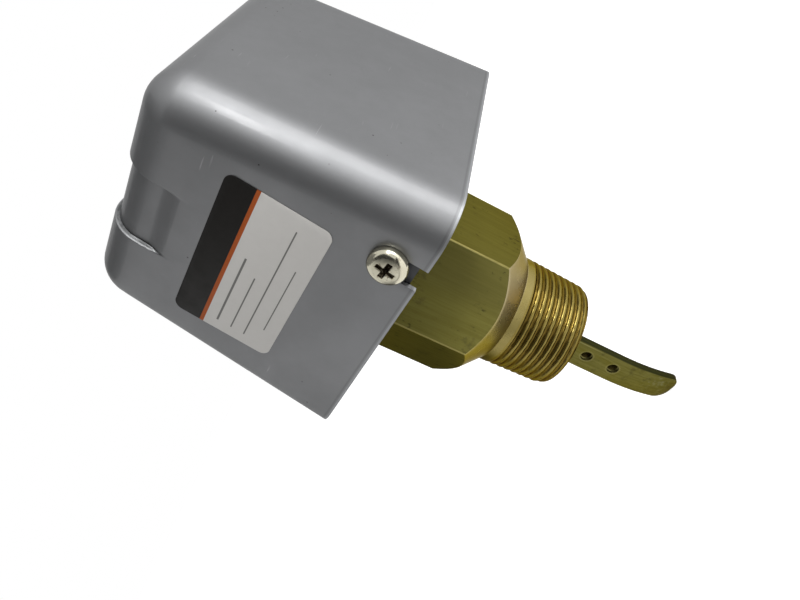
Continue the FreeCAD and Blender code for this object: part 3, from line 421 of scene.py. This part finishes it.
MATERIALS = {
    "cover_paint": cover_paint(),
    "black_paint": plastic("black_paint", (0.018, 0.019, 0.022), (0.035, 0.036, 0.040), 0.5),
    "brass_body": body_brass(),
    "brass_inner": metal("brass_inner", (0.36, 0.27, 0.09), (0.46, 0.37, 0.16), 0.30,
                         (120, 120, 4000)),
    "brass_strip": strip_brass(),
    "bronze": metal("bronze", (0.36, 0.22, 0.09), (0.48, 0.32, 0.15), 0.28),
    "contact_brass": metal("contact_brass", (0.46, 0.38, 0.17), (0.58, 0.50, 0.26), 0.26),
    "zinc_steel": metal("zinc_steel", (0.26, 0.27, 0.28), (0.38, 0.39, 0.39), 0.36,
                        (200, 2400, 2400)),
    "screw_steel": nickel_screw(),
    "spring_steel": metal("spring_steel", (0.26, 0.26, 0.27), (0.40, 0.40, 0.41), 0.24),
    "rubber": plastic("rubber", (0.012, 0.012, 0.012), (0.03, 0.03, 0.03), 0.6),
    "fibre": plastic("fibre", (0.18, 0.10, 0.06), (0.27, 0.17, 0.10), 0.75, 700, 0.4),
    "phenolic": plastic("phenolic", (0.020, 0.013, 0.011), (0.045, 0.030, 0.024), 0.38),
    "plunger_plastic": plastic("plunger_plastic", (0.36, 0.03, 0.02), (0.46, 0.05, 0.03), 0.35),
    "label_film": label_film(),
}
record = frame["record"]
SLOT_OF = {row["node"]: row["material_slot"] for row in record["subparts"]}
BODY_OF = {node: body for body, members in record["behaviour"]["bodies"].items()
           for node in members}


# ---------------------------------------------------------------- mesh helpers


def dress(piece, node, smooth_angle=35.0):
    """Let a piece stand for a CAD node, with its material, body and slot."""
    bpy.context.scene.collection.objects.link(piece)
    piece.data.materials.clear()
    piece.data.materials.append(MATERIALS[SLOT_OF[node]])
    finish_normals(piece, smooth_angle)
    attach(piece, BODY_OF[node])
    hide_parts(node)
    return piece


def finish_normals(piece, smooth_angle):
    """Shade a piece smooth, except where it turns by more than the angle."""
    mesh = piece.data
    mesh.polygons.foreach_set("use_smooth", [True] * len(mesh.polygons))
    mesh.set_sharp_from_angle(angle=math.radians(smooth_angle))


def bake_modifiers(piece):
    """Replace a piece's mesh with what its modifiers make of it."""
    bpy.context.view_layer.update()
    graph = bpy.context.evaluated_depsgraph_get()
    mesh = bpy.data.meshes.new_from_object(piece.evaluated_get(graph))
    piece.modifiers.clear()
    piece.data = mesh


def welded_copy(node, name):
    """A copy of a CAD node's mesh with its doubled points joined and flat faces merged."""
    work = bmesh.new()
    work.from_mesh(frame["nodes"][node].data)
    bmesh.ops.remove_doubles(work, verts=work.verts, dist=2e-6)
    bmesh.ops.dissolve_limit(work, angle_limit=math.radians(0.6), verts=work.verts,
                             edges=work.edges)
    mesh = bpy.data.meshes.new(name)
    work.to_mesh(mesh)
    work.free()
    return bpy.data.objects.new(name, mesh)


def closed_mesh(name, points, faces, weld=1e-7):
    """A piece from points in millimetres, with doubled points joined and faces outwards."""
    mesh = bpy.data.meshes.new(name)
    mesh.from_pydata([tuple(c * MM for c in p) for p in points], [], faces)
    work = bmesh.new()
    work.from_mesh(mesh)
    bmesh.ops.remove_doubles(work, verts=work.verts, dist=weld)
    bmesh.ops.recalc_face_normals(work, faces=work.faces)
    work.to_mesh(mesh)
    work.free()
    piece = bpy.data.objects.new(name, mesh)
    bpy.context.scene.collection.objects.link(piece)
    return piece


def cut_with(piece, tool_piece):
    """Cut a piece with a closed tool, and remove the tool."""
    cut = piece.modifiers.new("cut", "BOOLEAN")
    cut.operation = "DIFFERENCE"
    cut.object = tool_piece
    bake_modifiers(piece)
    bpy.data.objects.remove(tool_piece)


def round_edges(piece, width, angle, segments=2):
    """Round the edges that turn by more than angle, by width in millimetres."""
    bevel = piece.modifiers.new("edges", "BEVEL")
    bevel.width = width * MM
    bevel.segments = segments
    bevel.limit_method = "ANGLE"
    bevel.angle_limit = math.radians(angle)
    bake_modifiers(piece)


def soften(node, width):
    """A CAD node again, with its sharp edges rounded by width in millimetres."""
    piece = welded_copy(node, "fine_" + node)
    bpy.context.scene.collection.objects.link(piece)
    round_edges(piece, width, 32.0)
    bpy.context.scene.collection.objects.unlink(piece)
    return dress(piece, node)


# ---------------------------------------------------------------- cover


def spaced(low, high, count, fine=()):
    """Even steps, with closely spaced steps around each fine place."""
    steps = list(np.linspace(low, high, count))
    for middle, reach, number in fine:
        steps += list(np.linspace(middle - reach, middle + reach, number))
    steps = sorted(v for v in steps if low <= v <= high)
    kept = [steps[0]]
    for v in steps[1:]:
        if v - kept[-1] > CLOSEST_STEP:
            kept.append(v)
    kept[-1] = high
    return np.array(kept)


def slerp(a, b, share):
    """The unit vector that lies this share of the way round from a to b."""
    angle = math.acos(max(-1.0, min(1.0, float(np.dot(a, b)))))
    if angle < 1e-6:
        return a
    return (math.sin((1 - share) * angle) * a + math.sin(share * angle) * b) / math.sin(angle)


def smooth(share):
    """A smooth step from 0 to 1."""
    share = min(1.0, max(0.0, share))
    return share * share * (3 - 2 * share)


def corner_point(side, is_front, z):
    """Where the three rounding centres' planes meet, at height z."""
    lift = z - RIM
    x = side * (HALF_WIDTH - math.tan(SIDE_LEAN) * lift - CORNER / math.cos(SIDE_LEAN))
    if is_front:
        y = FRONT + math.tan(FRONT_LEAN) * lift + CORNER / math.cos(FRONT_LEAN)
    else:
        y = BACK - math.tan(BACK_LEAN) * lift - CORNER / math.cos(BACK_LEAN)
    return np.array([x, y, z])


class Cover:
    """The cover's two skins, on one grid of columns round it and rows up it.

    A column is (corner, next corner, share of the way between them, normal), and a corner
    is (side, is_front). Lengths from the rim up the front wall, over the rounding and along
    the crown's flat are called s.
    """

    corners = ((-1, True), (1, True), (1, False), (-1, False))
    front_normal = np.array([0, -math.cos(FRONT_LEAN), math.sin(FRONT_LEAN)])
    back_normal = np.array([0, math.cos(BACK_LEAN), math.sin(BACK_LEAN)])
    left_normal = np.array([-math.cos(SIDE_LEAN), 0, math.sin(SIDE_LEAN)])
    right_normal = np.array([math.cos(SIDE_LEAN), 0, math.sin(SIDE_LEAN)])
    top_normal = np.array([0.0, 0.0, 1.0])
    top_z = CROWN - CORNER

    def __init__(self):
        self.vertices = []
        self.faces = []
        self.front_left = corner_point(-1, True, self.top_z)
        half_span = -self.front_left[0]
        depth_span = corner_point(1, False, self.top_z)[1] - self.front_left[1]
        flat_end = FRONT + math.tan(FRONT_LEAN) * (CROWN - RIM) + RECESS_RUN
        flat_run = flat_end - self.front_left[1]
        # closer steps lie around the recess's lips
        self.xs = spaced(-half_span, half_span, WALL_STEPS,
                         ((-RECESS_HALF, 0.7, 18), (RECESS_HALF, 0.9, 14)))
        self.ys = spaced(0, depth_span, WALL_STEPS, ((flat_run, 0.9, 16),))
        self.wall_rows = spaced(RIM, self.top_z, WALL_ROWS,
                                ((LIP_LEVEL + 1.8, 2.0, 22), (RIM + 0.3, 0.3, 4)))
        self.crown_rows = np.linspace(0, 1, CROWN_ROWS + 1)[1:]
        self.columns = self.make_columns((self.xs + half_span) / (2 * half_span),
                                         self.ys / depth_span)

        self.lip_s = (LIP_LEVEL - RIM) / math.cos(FRONT_LEAN)
        self.start_s = (self.top_z + CORNER * math.sin(FRONT_LEAN) - RIM) / math.cos(FRONT_LEAN)
        self.arc_length = CORNER * (math.pi / 2 - FRONT_LEAN)
        self.run_length = self.start_s - self.lip_s + self.arc_length + flat_run

    def make_columns(self, across, along):
        """The columns round the cover from the front wall's left end."""
        normals = (self.front_normal, self.right_normal, self.back_normal, self.left_normal)
        columns = []
        for wall, shares in enumerate((across, along, 1 - across[::-1], 1 - along[::-1])):
            following = (wall + 1) % 4
            a, b = self.corners[wall], self.corners[following]
            columns += [(a, b, share, normals[wall]) for share in shares]
            for step in range(1, ARC_STEPS):
                normal = slerp(normals[wall], normals[following], step / ARC_STEPS)
                columns.append((b, b, 0.0, normal))
        return columns

    def drop(self, x, s):
        """How deep the recess is: full on its floor, with a crisp lip on its -X side."""
        into = s - self.lip_s
        left = smooth(0.5 + (x + RECESS_HALF) / LIP_CRISP)
        right = smooth(0.5 + (RECESS_HALF - x) / LIP_SOFT)
        low = smooth((into + LIP_LEAD) / LIP_RUN_OUT)
        high = smooth(0.5 + (self.run_length - into) / LIP_SOFT)
        return RECESS_DEPTH * (left * right * low * high)

    def point(self, column, z, s, thin, rounding=0.0):
        """A column's point over the rounding centre's height z, moved inwards by thin."""
        a, b, share, normal = column
        centre = (1 - share) * corner_point(*a, z) + share * corner_point(*b, z)
        drop = self.drop(centre[0], s) if normal is self.front_normal else 0.0
        return centre + (CORNER - thin - drop) * slerp(normal, self.top_normal, rounding)

    def wall_row(self, z, thin):
        """The points at level z on the walls."""
        row = []
        for column in self.columns:
            # the height along the inner edge that puts this point at level z
            reach = max(RIM - CORNER, z - CORNER * column[3][2])
            row.append(self.point(column, reach, (z - RIM) / math.cos(FRONT_LEAN), thin))
            if z == self.wall_rows[0]:
                row[-1][2] = RIM
        return row

    def crown_row(self, share, thin):
        """The points this share of the way over the rounding, from the walls to the crown."""
        s = self.start_s + share * self.arc_length
        return [self.point(column, self.top_z, s, thin, share) for column in self.columns]

    def add_face(self, face, flip):
        self.faces.append(face[::-1] if flip else face)

    def add_skin(self, thin, flip):
        """Add a skin's points and faces, and return its first point's number."""
        rows = [self.wall_row(z, thin) for z in self.wall_rows]
        rows += [self.crown_row(share, thin) for share in self.crown_rows]
        count = len(self.columns)
        first = len(self.vertices)
        for row in rows:
            self.vertices.extend(row)
        for r in range(len(rows) - 1):
            for c in range(count):
                a, b = first + r * count + c, first + r * count + (c + 1) % count
                self.add_face((a, b, b + count, a + count), flip)
        self.add_crown(first + (len(rows) - 1) * count, thin, flip)
        return first

    def add_crown(self, last, thin, flip):
        """Add the crown's flat, a grid whose outer points are the last row's."""
        nx, ny = len(self.xs), len(self.ys)
        side = ARC_STEPS - 1
        index = np.zeros((ny, nx), int)
        index[0, :] = last + np.arange(nx)
        index[:, -1] = last + nx + side + np.arange(ny)
        index[-1, :] = (last + nx + ny + 2 * side + np.arange(nx))[::-1]
        index[:, 0] = (last + 2 * nx + ny + 3 * side + np.arange(ny))[::-1]
        for j in range(1, ny - 1):
            drop_s = self.start_s + self.arc_length + self.ys[j]
            for i in range(1, nx - 1):
                x = self.xs[i]
                index[j, i] = len(self.vertices)
                self.vertices.append(np.array([x, self.front_left[1] + self.ys[j],
                                               CROWN - thin - self.drop(x, drop_s)]))
        for j in range(ny - 1):
            for i in range(nx - 1):
                self.add_face((index[j, i], index[j, i + 1],
                               index[j + 1, i + 1], index[j + 1, i]), flip)

    def close_rim(self, outer, inner):
        count = len(self.columns)
        for c in range(count):
            n = (c + 1) % count
            self.faces.append((inner + c, inner + n, outer + n, outer + c))


def make_cover():
    """The drawn cover with its recess and its two open screw slots."""
    cover = Cover()
    cover.close_rim(cover.add_skin(0.0, False), cover.add_skin(WALL, True))
    piece = closed_mesh("cover_shell", cover.vertices, cover.faces, 1e-6)
    for x, y in ((SCREW_X, FRONT), (-SCREW_X, BACK)):
        cut_with(piece, slot_cutter(x, y))
    round_edges(piece, RIM_ROUNDING, 50, 3)
    bpy.context.scene.collection.objects.unlink(piece)
    return dress(piece, "cover", 40.0)


def slot_cutter(x, y):
    """A closed tool for the open screw slot in the rim, through the wall at x and y."""
    steps, below, half_depth = 24, 2, 6
    outline = [(-SLOT_HALF, RIM - below), (SLOT_HALF, RIM - below)]
    for step in range(steps + 1):
        angle = math.pi * step / steps
        outline.append((SLOT_HALF * math.cos(angle), SCREW_LEVEL + SLOT_HALF * math.sin(angle)))
    points = []
    for depth in (y - half_depth, y + half_depth):
        points += [(x + px, depth, pz) for px, pz in outline]
    count = len(outline)
    faces = [tuple(range(count)), tuple(range(2 * count - 1, count - 1, -1))]
    for i in range(count):
        n = (i + 1) % count
        faces.append((i, i + count, n + count, n))
    return closed_mesh("slot", points, faces)


# ---------------------------------------------------------------- body


def groove(phase):
    """0 on the rounded crest and 1 in the rounded root."""
    wave = 0.5 - 0.5 * math.cos(2 * math.pi * phase)
    return ROUND_SHARE * wave + (1 - ROUND_SHARE) * smooth((wave - 0.2) / 0.6)


def hexagon_reach(angle):
    """How far the hexagon's flats lie from the axis in this direction."""
    part = (angle - HEX_TURN) % (math.pi / 3)
    return HALF_FLATS / math.cos(part - math.pi / 6)


def lower_surface(around=240, per_pitch=16):
    """The free end, the helical thread, the neck, the cone and the hexagon up to the join."""
    vertices = []
    faces = []
    width = around + 1
    angles = [2 * math.pi * c / around for c in range(width)]
    for corner in range(6):
        exact = (HEX_TURN + corner * math.pi / 3) % (2 * math.pi)
        angles[round(exact * around / (2 * math.pi))] = exact
    row_count = int((NECK_TOP / PITCH + 3) * per_pitch)
    for r in range(row_count):
        for c in range(width):
            angle = angles[c]
            turn = angle / (2 * math.pi)
            z = min(max((r / per_pitch - 1.5 + turn) * PITCH, 0.0), NECK_TOP)
            crest = min(THREAD_RADIUS + TAPER * min(z, THREAD_LENGTH),
                        END_RADIUS + (THREAD_RADIUS - END_RADIUS + 0.05) * z / END_CHAMFER)
            fade = smooth((THREAD_END - z) / THREAD_FADE) * min(1.0, z / BORE_CHAMFER)
            phase = r / per_pitch
            ripple = CHATTER * math.sin(CHATTER_WAVES * angle
                                        + CHATTER_DRIFT * math.sin(CHATTER_RATE * phase))
            depth = THREAD_DEPTH * groove(phase % 1.0)
            radius = crest + fade * (ripple * min(1.0, abs(depth) / 0.1) - depth)
            vertices.append((radius * math.cos(angle), radius * math.sin(angle), z))
    upper = []
    for share in np.linspace(0, 1, 9)[1:]:
        row = []
        for angle in angles:
            reach = NECK_RADIUS + share * (hexagon_reach(angle) - NECK_RADIUS)
            row.append((reach * math.cos(angle), reach * math.sin(angle),
                        NECK_TOP + CONE_SLOPE * (reach - NECK_RADIUS)))
        upper.append(row)
    cone_top = upper[-1]
    for share in (0.5, 1.0):
        upper.append([(x, y, z + share * (JOIN - z)) for x, y, z in cone_top])
    for radius, z in ((CHAMBER_RADIUS, JOIN), (CHAMBER_RADIUS, CHAMBER_FLOOR),
                      (BORE, CHAMBER_FLOOR), (BORE, BORE_CHAMFER),
                      (BORE + BORE_CHAMFER, 0.0), (END_RADIUS, 0.0)):
        upper.append([(radius * math.cos(a), radius * math.sin(a), z) for a in angles])
    for row in upper:
        vertices.extend(row)
    for r in range(row_count + len(upper) - 1):
        for c in range(around):
            a = r * width + c
            faces.append((a, a + 1, a + width + 1, a + width))
    return vertices, faces


def make_body():
    """The CAD node above the join, on a drawn lower part with a real helical thread."""
    piece = welded_copy("body", "brass_body")
    work = bmesh.new()
    work.from_mesh(piece.data)
    bmesh.ops.bisect_plane(work, geom=work.verts[:] + work.edges[:] + work.faces[:],
                           plane_co=(0, 0, (JOIN - JOIN_OVERLAP) * MM), plane_no=(0, 0, 1),
                           clear_inner=True)
    work.to_mesh(piece.data)
    work.free()
    bpy.context.scene.collection.objects.link(piece)
    round_edges(piece, CHAMBER_EDGE, 24)
    lower = closed_mesh("lower", *lower_surface(), weld=1e-6)
    work = bmesh.new()
    work.from_mesh(lower.data)
    bpy.data.objects.remove(lower)
    sharp = [edge for edge in work.edges if edge.is_manifold
             and edge.calc_face_angle(0.0) > math.radians(26)
             and min(v.co.z for v in edge.verts) > (NECK_TOP + 0.5) * MM]
    bmesh.ops.bevel(work, geom=sharp, offset=HEX_EDGE * MM, segments=2, affect="EDGES",
                    profile=0.5)
    work.from_mesh(piece.data)
    work.to_mesh(piece.data)
    work.free()
    bpy.context.scene.collection.objects.unlink(piece)
    return dress(piece, "body", 13.0)


# ---------------------------------------------------------------- cover screws


def turned_mesh(name, profile, around=64):
    """A closed turned piece from (radius, level) points whose ends lie on the axis."""
    points = []
    faces = []
    for radius, level in profile:
        for c in range(around):
            angle = 2 * math.pi * c / around
            points.append((radius * math.cos(angle), radius * math.sin(angle), level))
    for r in range(len(profile) - 1):
        for c in range(around):
            n = (c + 1) % around
            a, b = r * around + c, r * around + n
            faces.append((a, b, b + around, a + around))
    return closed_mesh(name, points, faces)


def make_cover_screw(node, origin, axis, turn):
    """A domed cross-head screw on its axis, with a rolled thread on the shank."""
    dome_steps, thread_steps, thread_start = 15, 45, 1.0
    profile = [(0, HEAD_HEIGHT)]
    for step in range(1, dome_steps + 1):
        t = math.pi / 2 * step / dome_steps
        profile.append((HEAD_RADIUS * math.sin(t) ** 0.72,
                        HEAD_FOOT + (HEAD_HEIGHT - HEAD_FOOT) * math.cos(t) ** 0.66))
    profile += [(HEAD_RADIUS - 0.06, 0.0), (SHANK_RADIUS, 0.0), (SHANK_RADIUS, -0.9)]
    for step in range(thread_steps):
        profile.append((SHANK_RADIUS - SHANK_THREAD * (step % 2),
                        -thread_start - step * HALF_PITCH))
    profile += [(SHANK_RADIUS - 0.4, -SHANK_LENGTH), (0, -SHANK_LENGTH)]
    piece = turned_mesh("screw_" + node, profile)
    for quarter in (0, 90):
        blade_points = []
        for level, half, thick in CROSS:
            blade_points += [(-half, -thick, level), (half, -thick, level),
                             (half, thick, level), (-half, thick, level)]
        blade = closed_mesh("blade", blade_points, [
            (0, 1, 2, 3), (7, 6, 5, 4), (0, 1, 5, 4), (1, 2, 6, 5), (2, 3, 7, 6), (3, 0, 4, 7)])
        blade.data.transform(Matrix.Rotation(math.radians(turn + quarter), 4, "Z"))
        cut_with(piece, blade)
    round_edges(piece, 0.10, 38)
    z_axis = Vector(axis).normalized()
    x_axis = Vector((1, 0, 0))
    y_axis = z_axis.cross(x_axis)
    turned_to = Matrix((x_axis, y_axis, z_axis)).transposed().to_4x4()
    piece.data.transform(Matrix.Translation(Vector(origin) * MM) @ turned_to)
    bpy.context.scene.collection.objects.unlink(piece)
    return dress(piece, node, 30.0)


def make_hole_threads(around=40, steps=12):
    """The M3 threads in the paddle arm's two holes, as ridged liners."""
    for height in HOLE_LEVELS:
        # (radius, depth behind the arm's front), round the liner's closed section
        profile = [(HOLE_RADIUS, 0.03)]
        for step in range(1, steps):
            profile.append((HOLE_CREST if step % 2 else HOLE_ROOT, HOLE_STEP * step - 0.05))
        profile.append((HOLE_RADIUS, HOLE_STEP * steps - 0.05))
        points = []
        faces = []
        for radius, depth in profile:
            for c in range(around):
                angle = 2 * math.pi * c / around
                points.append((radius * math.cos(angle), PADDLE_FRONT + depth,
                               height + radius * math.sin(angle)))
        count = len(profile)
        for r in range(count):
            for c in range(around):
                n = (c + 1) % around
                faces.append((r * around + c, r * around + n, (r + 1) % count * around + n,
                              (r + 1) % count * around + c))
        liner = closed_mesh("hole_thread", points, faces)
        bpy.context.scene.collection.objects.unlink(liner)
        dress(liner, "paddle_arm", 50.0)


# ---------------------------------------------------------------- the pieces

make_cover()
make_body()
make_cover_screw("front_cover_screw",
                 (SCREW_X, FRONT_SEAT, SCREW_LEVEL + math.sin(FRONT_LEAN) * HEAD_GAP),
                 (0, -math.cos(FRONT_LEAN), math.sin(FRONT_LEAN)), -7)
make_cover_screw("rear_cover_screw",
                 (-SCREW_X, REAR_SEAT, SCREW_LEVEL + math.sin(BACK_LEAN) * HEAD_GAP),
                 (0, math.cos(BACK_LEAN), math.sin(BACK_LEAN)), 31)

# how far each other piece's sharp edges are rounded
EDGE_WIDTHS = {
    "paddle_arm": 0.16, "label_plate": 0.05, "base_plate": 0.20, "pivot_yoke": 0.25,
    "lock_nut": 0.30, "body_gasket": 0.08, "bellows_flange": 0.12, "bellows_cap": 0.15,
    "lever_hub": 0.35, "lever_rod": 0.20, "pivot_pin": 0.15, "pivot_spacers": 0.15,
    "switch_arm": 0.25, "switch_bracket": 0.25, "insulation_sheet": 0.06, "switch_case": 0.45,
    "switch_lid": 0.45, "switch_plunger": 0.15, "terminals": 0.12, "terminal_screws": 0.12,
    "switch_screws": 0.12, "switch_nuts": 0.2, "arm_screws": 0.12, "trip_screw": 0.12,
    "trip_nut": 0.2, "bracket_screws": 0.12, "earth_screw": 0.12, "paddle_screws": 0.1,
    "adjusting_screw": 0.15, "adjuster_clip": 0.08, "spring_seat": 0.15, "cable_grommet": 0.35,
    "bellows_circlip": 0.1, "pivot_clips": 0.08, "cover_nuts": 0.2,
}
for node, width in EDGE_WIDTHS.items():
    soften(node, width)
make_hole_threads()
# the rest keep the CAD model's mesh
for node, item in frame["nodes"].items():
    if node in EDGE_WIDTHS or node in ("cover", "body", "front_cover_screw", "rear_cover_screw"):
        continue
    item.data.materials.clear()
    item.data.materials.append(MATERIALS[SLOT_OF[node]])

# ---------------------------------------------------------------- stage and light

# in metres: the floor lies just under the paddle's tip, and the floor cards just over it
FLOOR_HALF, FLOOR_LEVEL, CARD_LEVEL = 6.0, -0.0352, -0.034
FLOOR_WHITE = 0.62
AIM = (0.0, 0.0, 0.05)


def plain_stage(name, strength):
    """A pale surface that the camera, mirrors and glass see as white, less its shadows."""
    s = Shader(name)
    ray = s.node("ShaderNodeLightPath").outputs
    seen = s.math("MAXIMUM", ray["Is Camera Ray"],
                  s.math("MAXIMUM", ray["Is Glossy Ray"], ray["Is Transmission Ray"]))
    s.set(Base_Color=tint(0.8, 0.8, 0.8), Roughness=0.9,
          Emission_Color=tint(1, 1, 1), Emission_Strength=s.times(seen, strength))
    # clear from below, so that the underside can be looked at
    one_sided = s.node("ShaderNodeMixShader")
    s.feed(one_sided.inputs[0], s.node("ShaderNodeNewGeometry").outputs["Backfacing"])
    s.tree.links.new(s.base.outputs["BSDF"], one_sided.inputs[1])
    s.tree.links.new(s.node("ShaderNodeBsdfTransparent").outputs["BSDF"], one_sided.inputs[2])
    s.tree.links.new(one_sided.outputs["Shader"], s.tree.nodes["Material Output"].inputs["Surface"])
    return s.material


def flat_panel(name, width, height):
    """A rectangle about its own middle, facing up."""
    mesh = bpy.data.meshes.new(name)
    mesh.from_pydata([(-width / 2, -height / 2, 0), (width / 2, -height / 2, 0),
                      (width / 2, height / 2, 0), (-width / 2, height / 2, 0)], [],
                     [(0, 1, 2, 3)])
    panel = bpy.data.objects.new(name, mesh)
    bpy.context.scene.collection.objects.link(panel)
    return panel


def aim(item, target):
    """Turn a lamp or card at its place so that its -Z side looks at the target."""
    item.rotation_mode = "QUATERNION"
    item.rotation_quaternion = (Vector(target) - item.location).to_track_quat("-Z", "Y")


def make_floor():
    floor = flat_panel("floor", 2 * FLOOR_HALF, 2 * FLOOR_HALF)
    floor.location = (0, 0, FLOOR_LEVEL)
    floor.data.materials.append(plain_stage("floor", FLOOR_WHITE))


def make_world(lit=0.45, seen_as=1.0):
    """A plain sky that lights at one strength and is seen as white at the other."""
    world = bpy.data.worlds.new("studio")
    bpy.context.scene.world = world
    world.use_nodes = True
    tree = world.node_tree
    back = tree.nodes["Background"]
    ray = tree.nodes.new("ShaderNodeLightPath")
    seen = tree.nodes.new("ShaderNodeMath")
    seen.operation = "MAXIMUM"
    tree.links.new(ray.outputs["Is Camera Ray"], seen.inputs[0])
    both = tree.nodes.new("ShaderNodeMath")
    both.operation = "MAXIMUM"
    tree.links.new(ray.outputs["Is Glossy Ray"], both.inputs[0])
    tree.links.new(ray.outputs["Is Transmission Ray"], both.inputs[1])
    tree.links.new(both.outputs[0], seen.inputs[1])
    level = tree.nodes.new("ShaderNodeMapRange")
    tree.links.new(seen.outputs[0], level.inputs["Value"])
    level.inputs["To Min"].default_value = lit
    level.inputs["To Max"].default_value = seen_as
    tree.links.new(level.outputs["Result"], back.inputs["Strength"])
    back.inputs["Color"].default_value = (1, 1, 1, 1)


def make_card(name, place, width, height, grey=0.03, up=False):
    """A dark card beside the lamps, which only shows in reflections."""
    card = flat_panel(name, width, height)
    card.location = place
    if not up:
        aim(card, AIM)
    s = Shader(name)
    s.set(Base_Color=tint(grey, grey, grey), Roughness=0.9)
    card.data.materials.append(s.material)
    card.visible_camera = False
    card.visible_shadow = False
    card.visible_diffuse = False


def make_lamp(name, place, target, width, height, watts, shine=True):
    """A white rectangular lamp, which shows in reflections only if it shines."""
    light = bpy.data.lights.new(name, "AREA")
    light.shape = "RECTANGLE"
    light.size = width
    light.size_y = height
    light.energy = watts
    lamp = bpy.data.objects.new(name, light)
    lamp.visible_glossy = shine
    lamp.location = place
    aim(lamp, target)
    bpy.context.scene.collection.objects.link(lamp)


def make_camera():
    """The camera fitted to the photograph: its axes, its place in metres, and its lens."""
    right = Vector((0.4757, 0.1025, -0.8736))
    up = Vector((0.6770, 0.5915, 0.4380))
    back = Vector((0.5616, -0.7998, 0.2120))
    data = bpy.data.cameras.new("camera")
    data.sensor_width = 36.0
    data.lens = 28.979
    data.shift_x = -0.0810
    data.shift_y = -0.0857
    data.clip_start = 0.005
    data.clip_end = 50.0
    camera = bpy.data.objects.new("camera", data)
    turn = Matrix((right, up, back)).transposed()
    camera.matrix_world = Matrix.Translation((0.095531, -0.114690, 0.065212)) @ turn.to_4x4()
    bpy.context.scene.collection.objects.link(camera)
    bpy.context.scene.camera = camera


make_floor()
make_world()
make_card("front_card", (0.0, -0.66, 0.26), 0.80, 0.80, 0.055)
make_card("front_floor_card", (0.20, -0.42, CARD_LEVEL), 0.50, 0.46, up=True)
make_card("side_floor_card", (-0.36, 0.08, CARD_LEVEL), 0.44, 0.60, up=True)
make_card("top_card", (-0.36, -0.14, 0.66), 0.70, 0.70, 0.28)
make_lamp("key", (0.545, -0.22, 0.37), AIM, 0.20, 0.06, 1.1)
make_lamp("window", (0.62, 0.00, 0.22), (0.0, 0.0, 0.03), 0.34, 0.44, 2.4)
make_lamp("fill", (-0.45, -0.45, 0.45), AIM, 0.40, 0.40, 1.0, shine=False)
make_lamp("back", (0.0, 0.60, 0.45), AIM, 0.40, 0.40, 1.6, shine=False)
make_camera()
bpy.context.scene.view_settings.view_transform = "Standard"
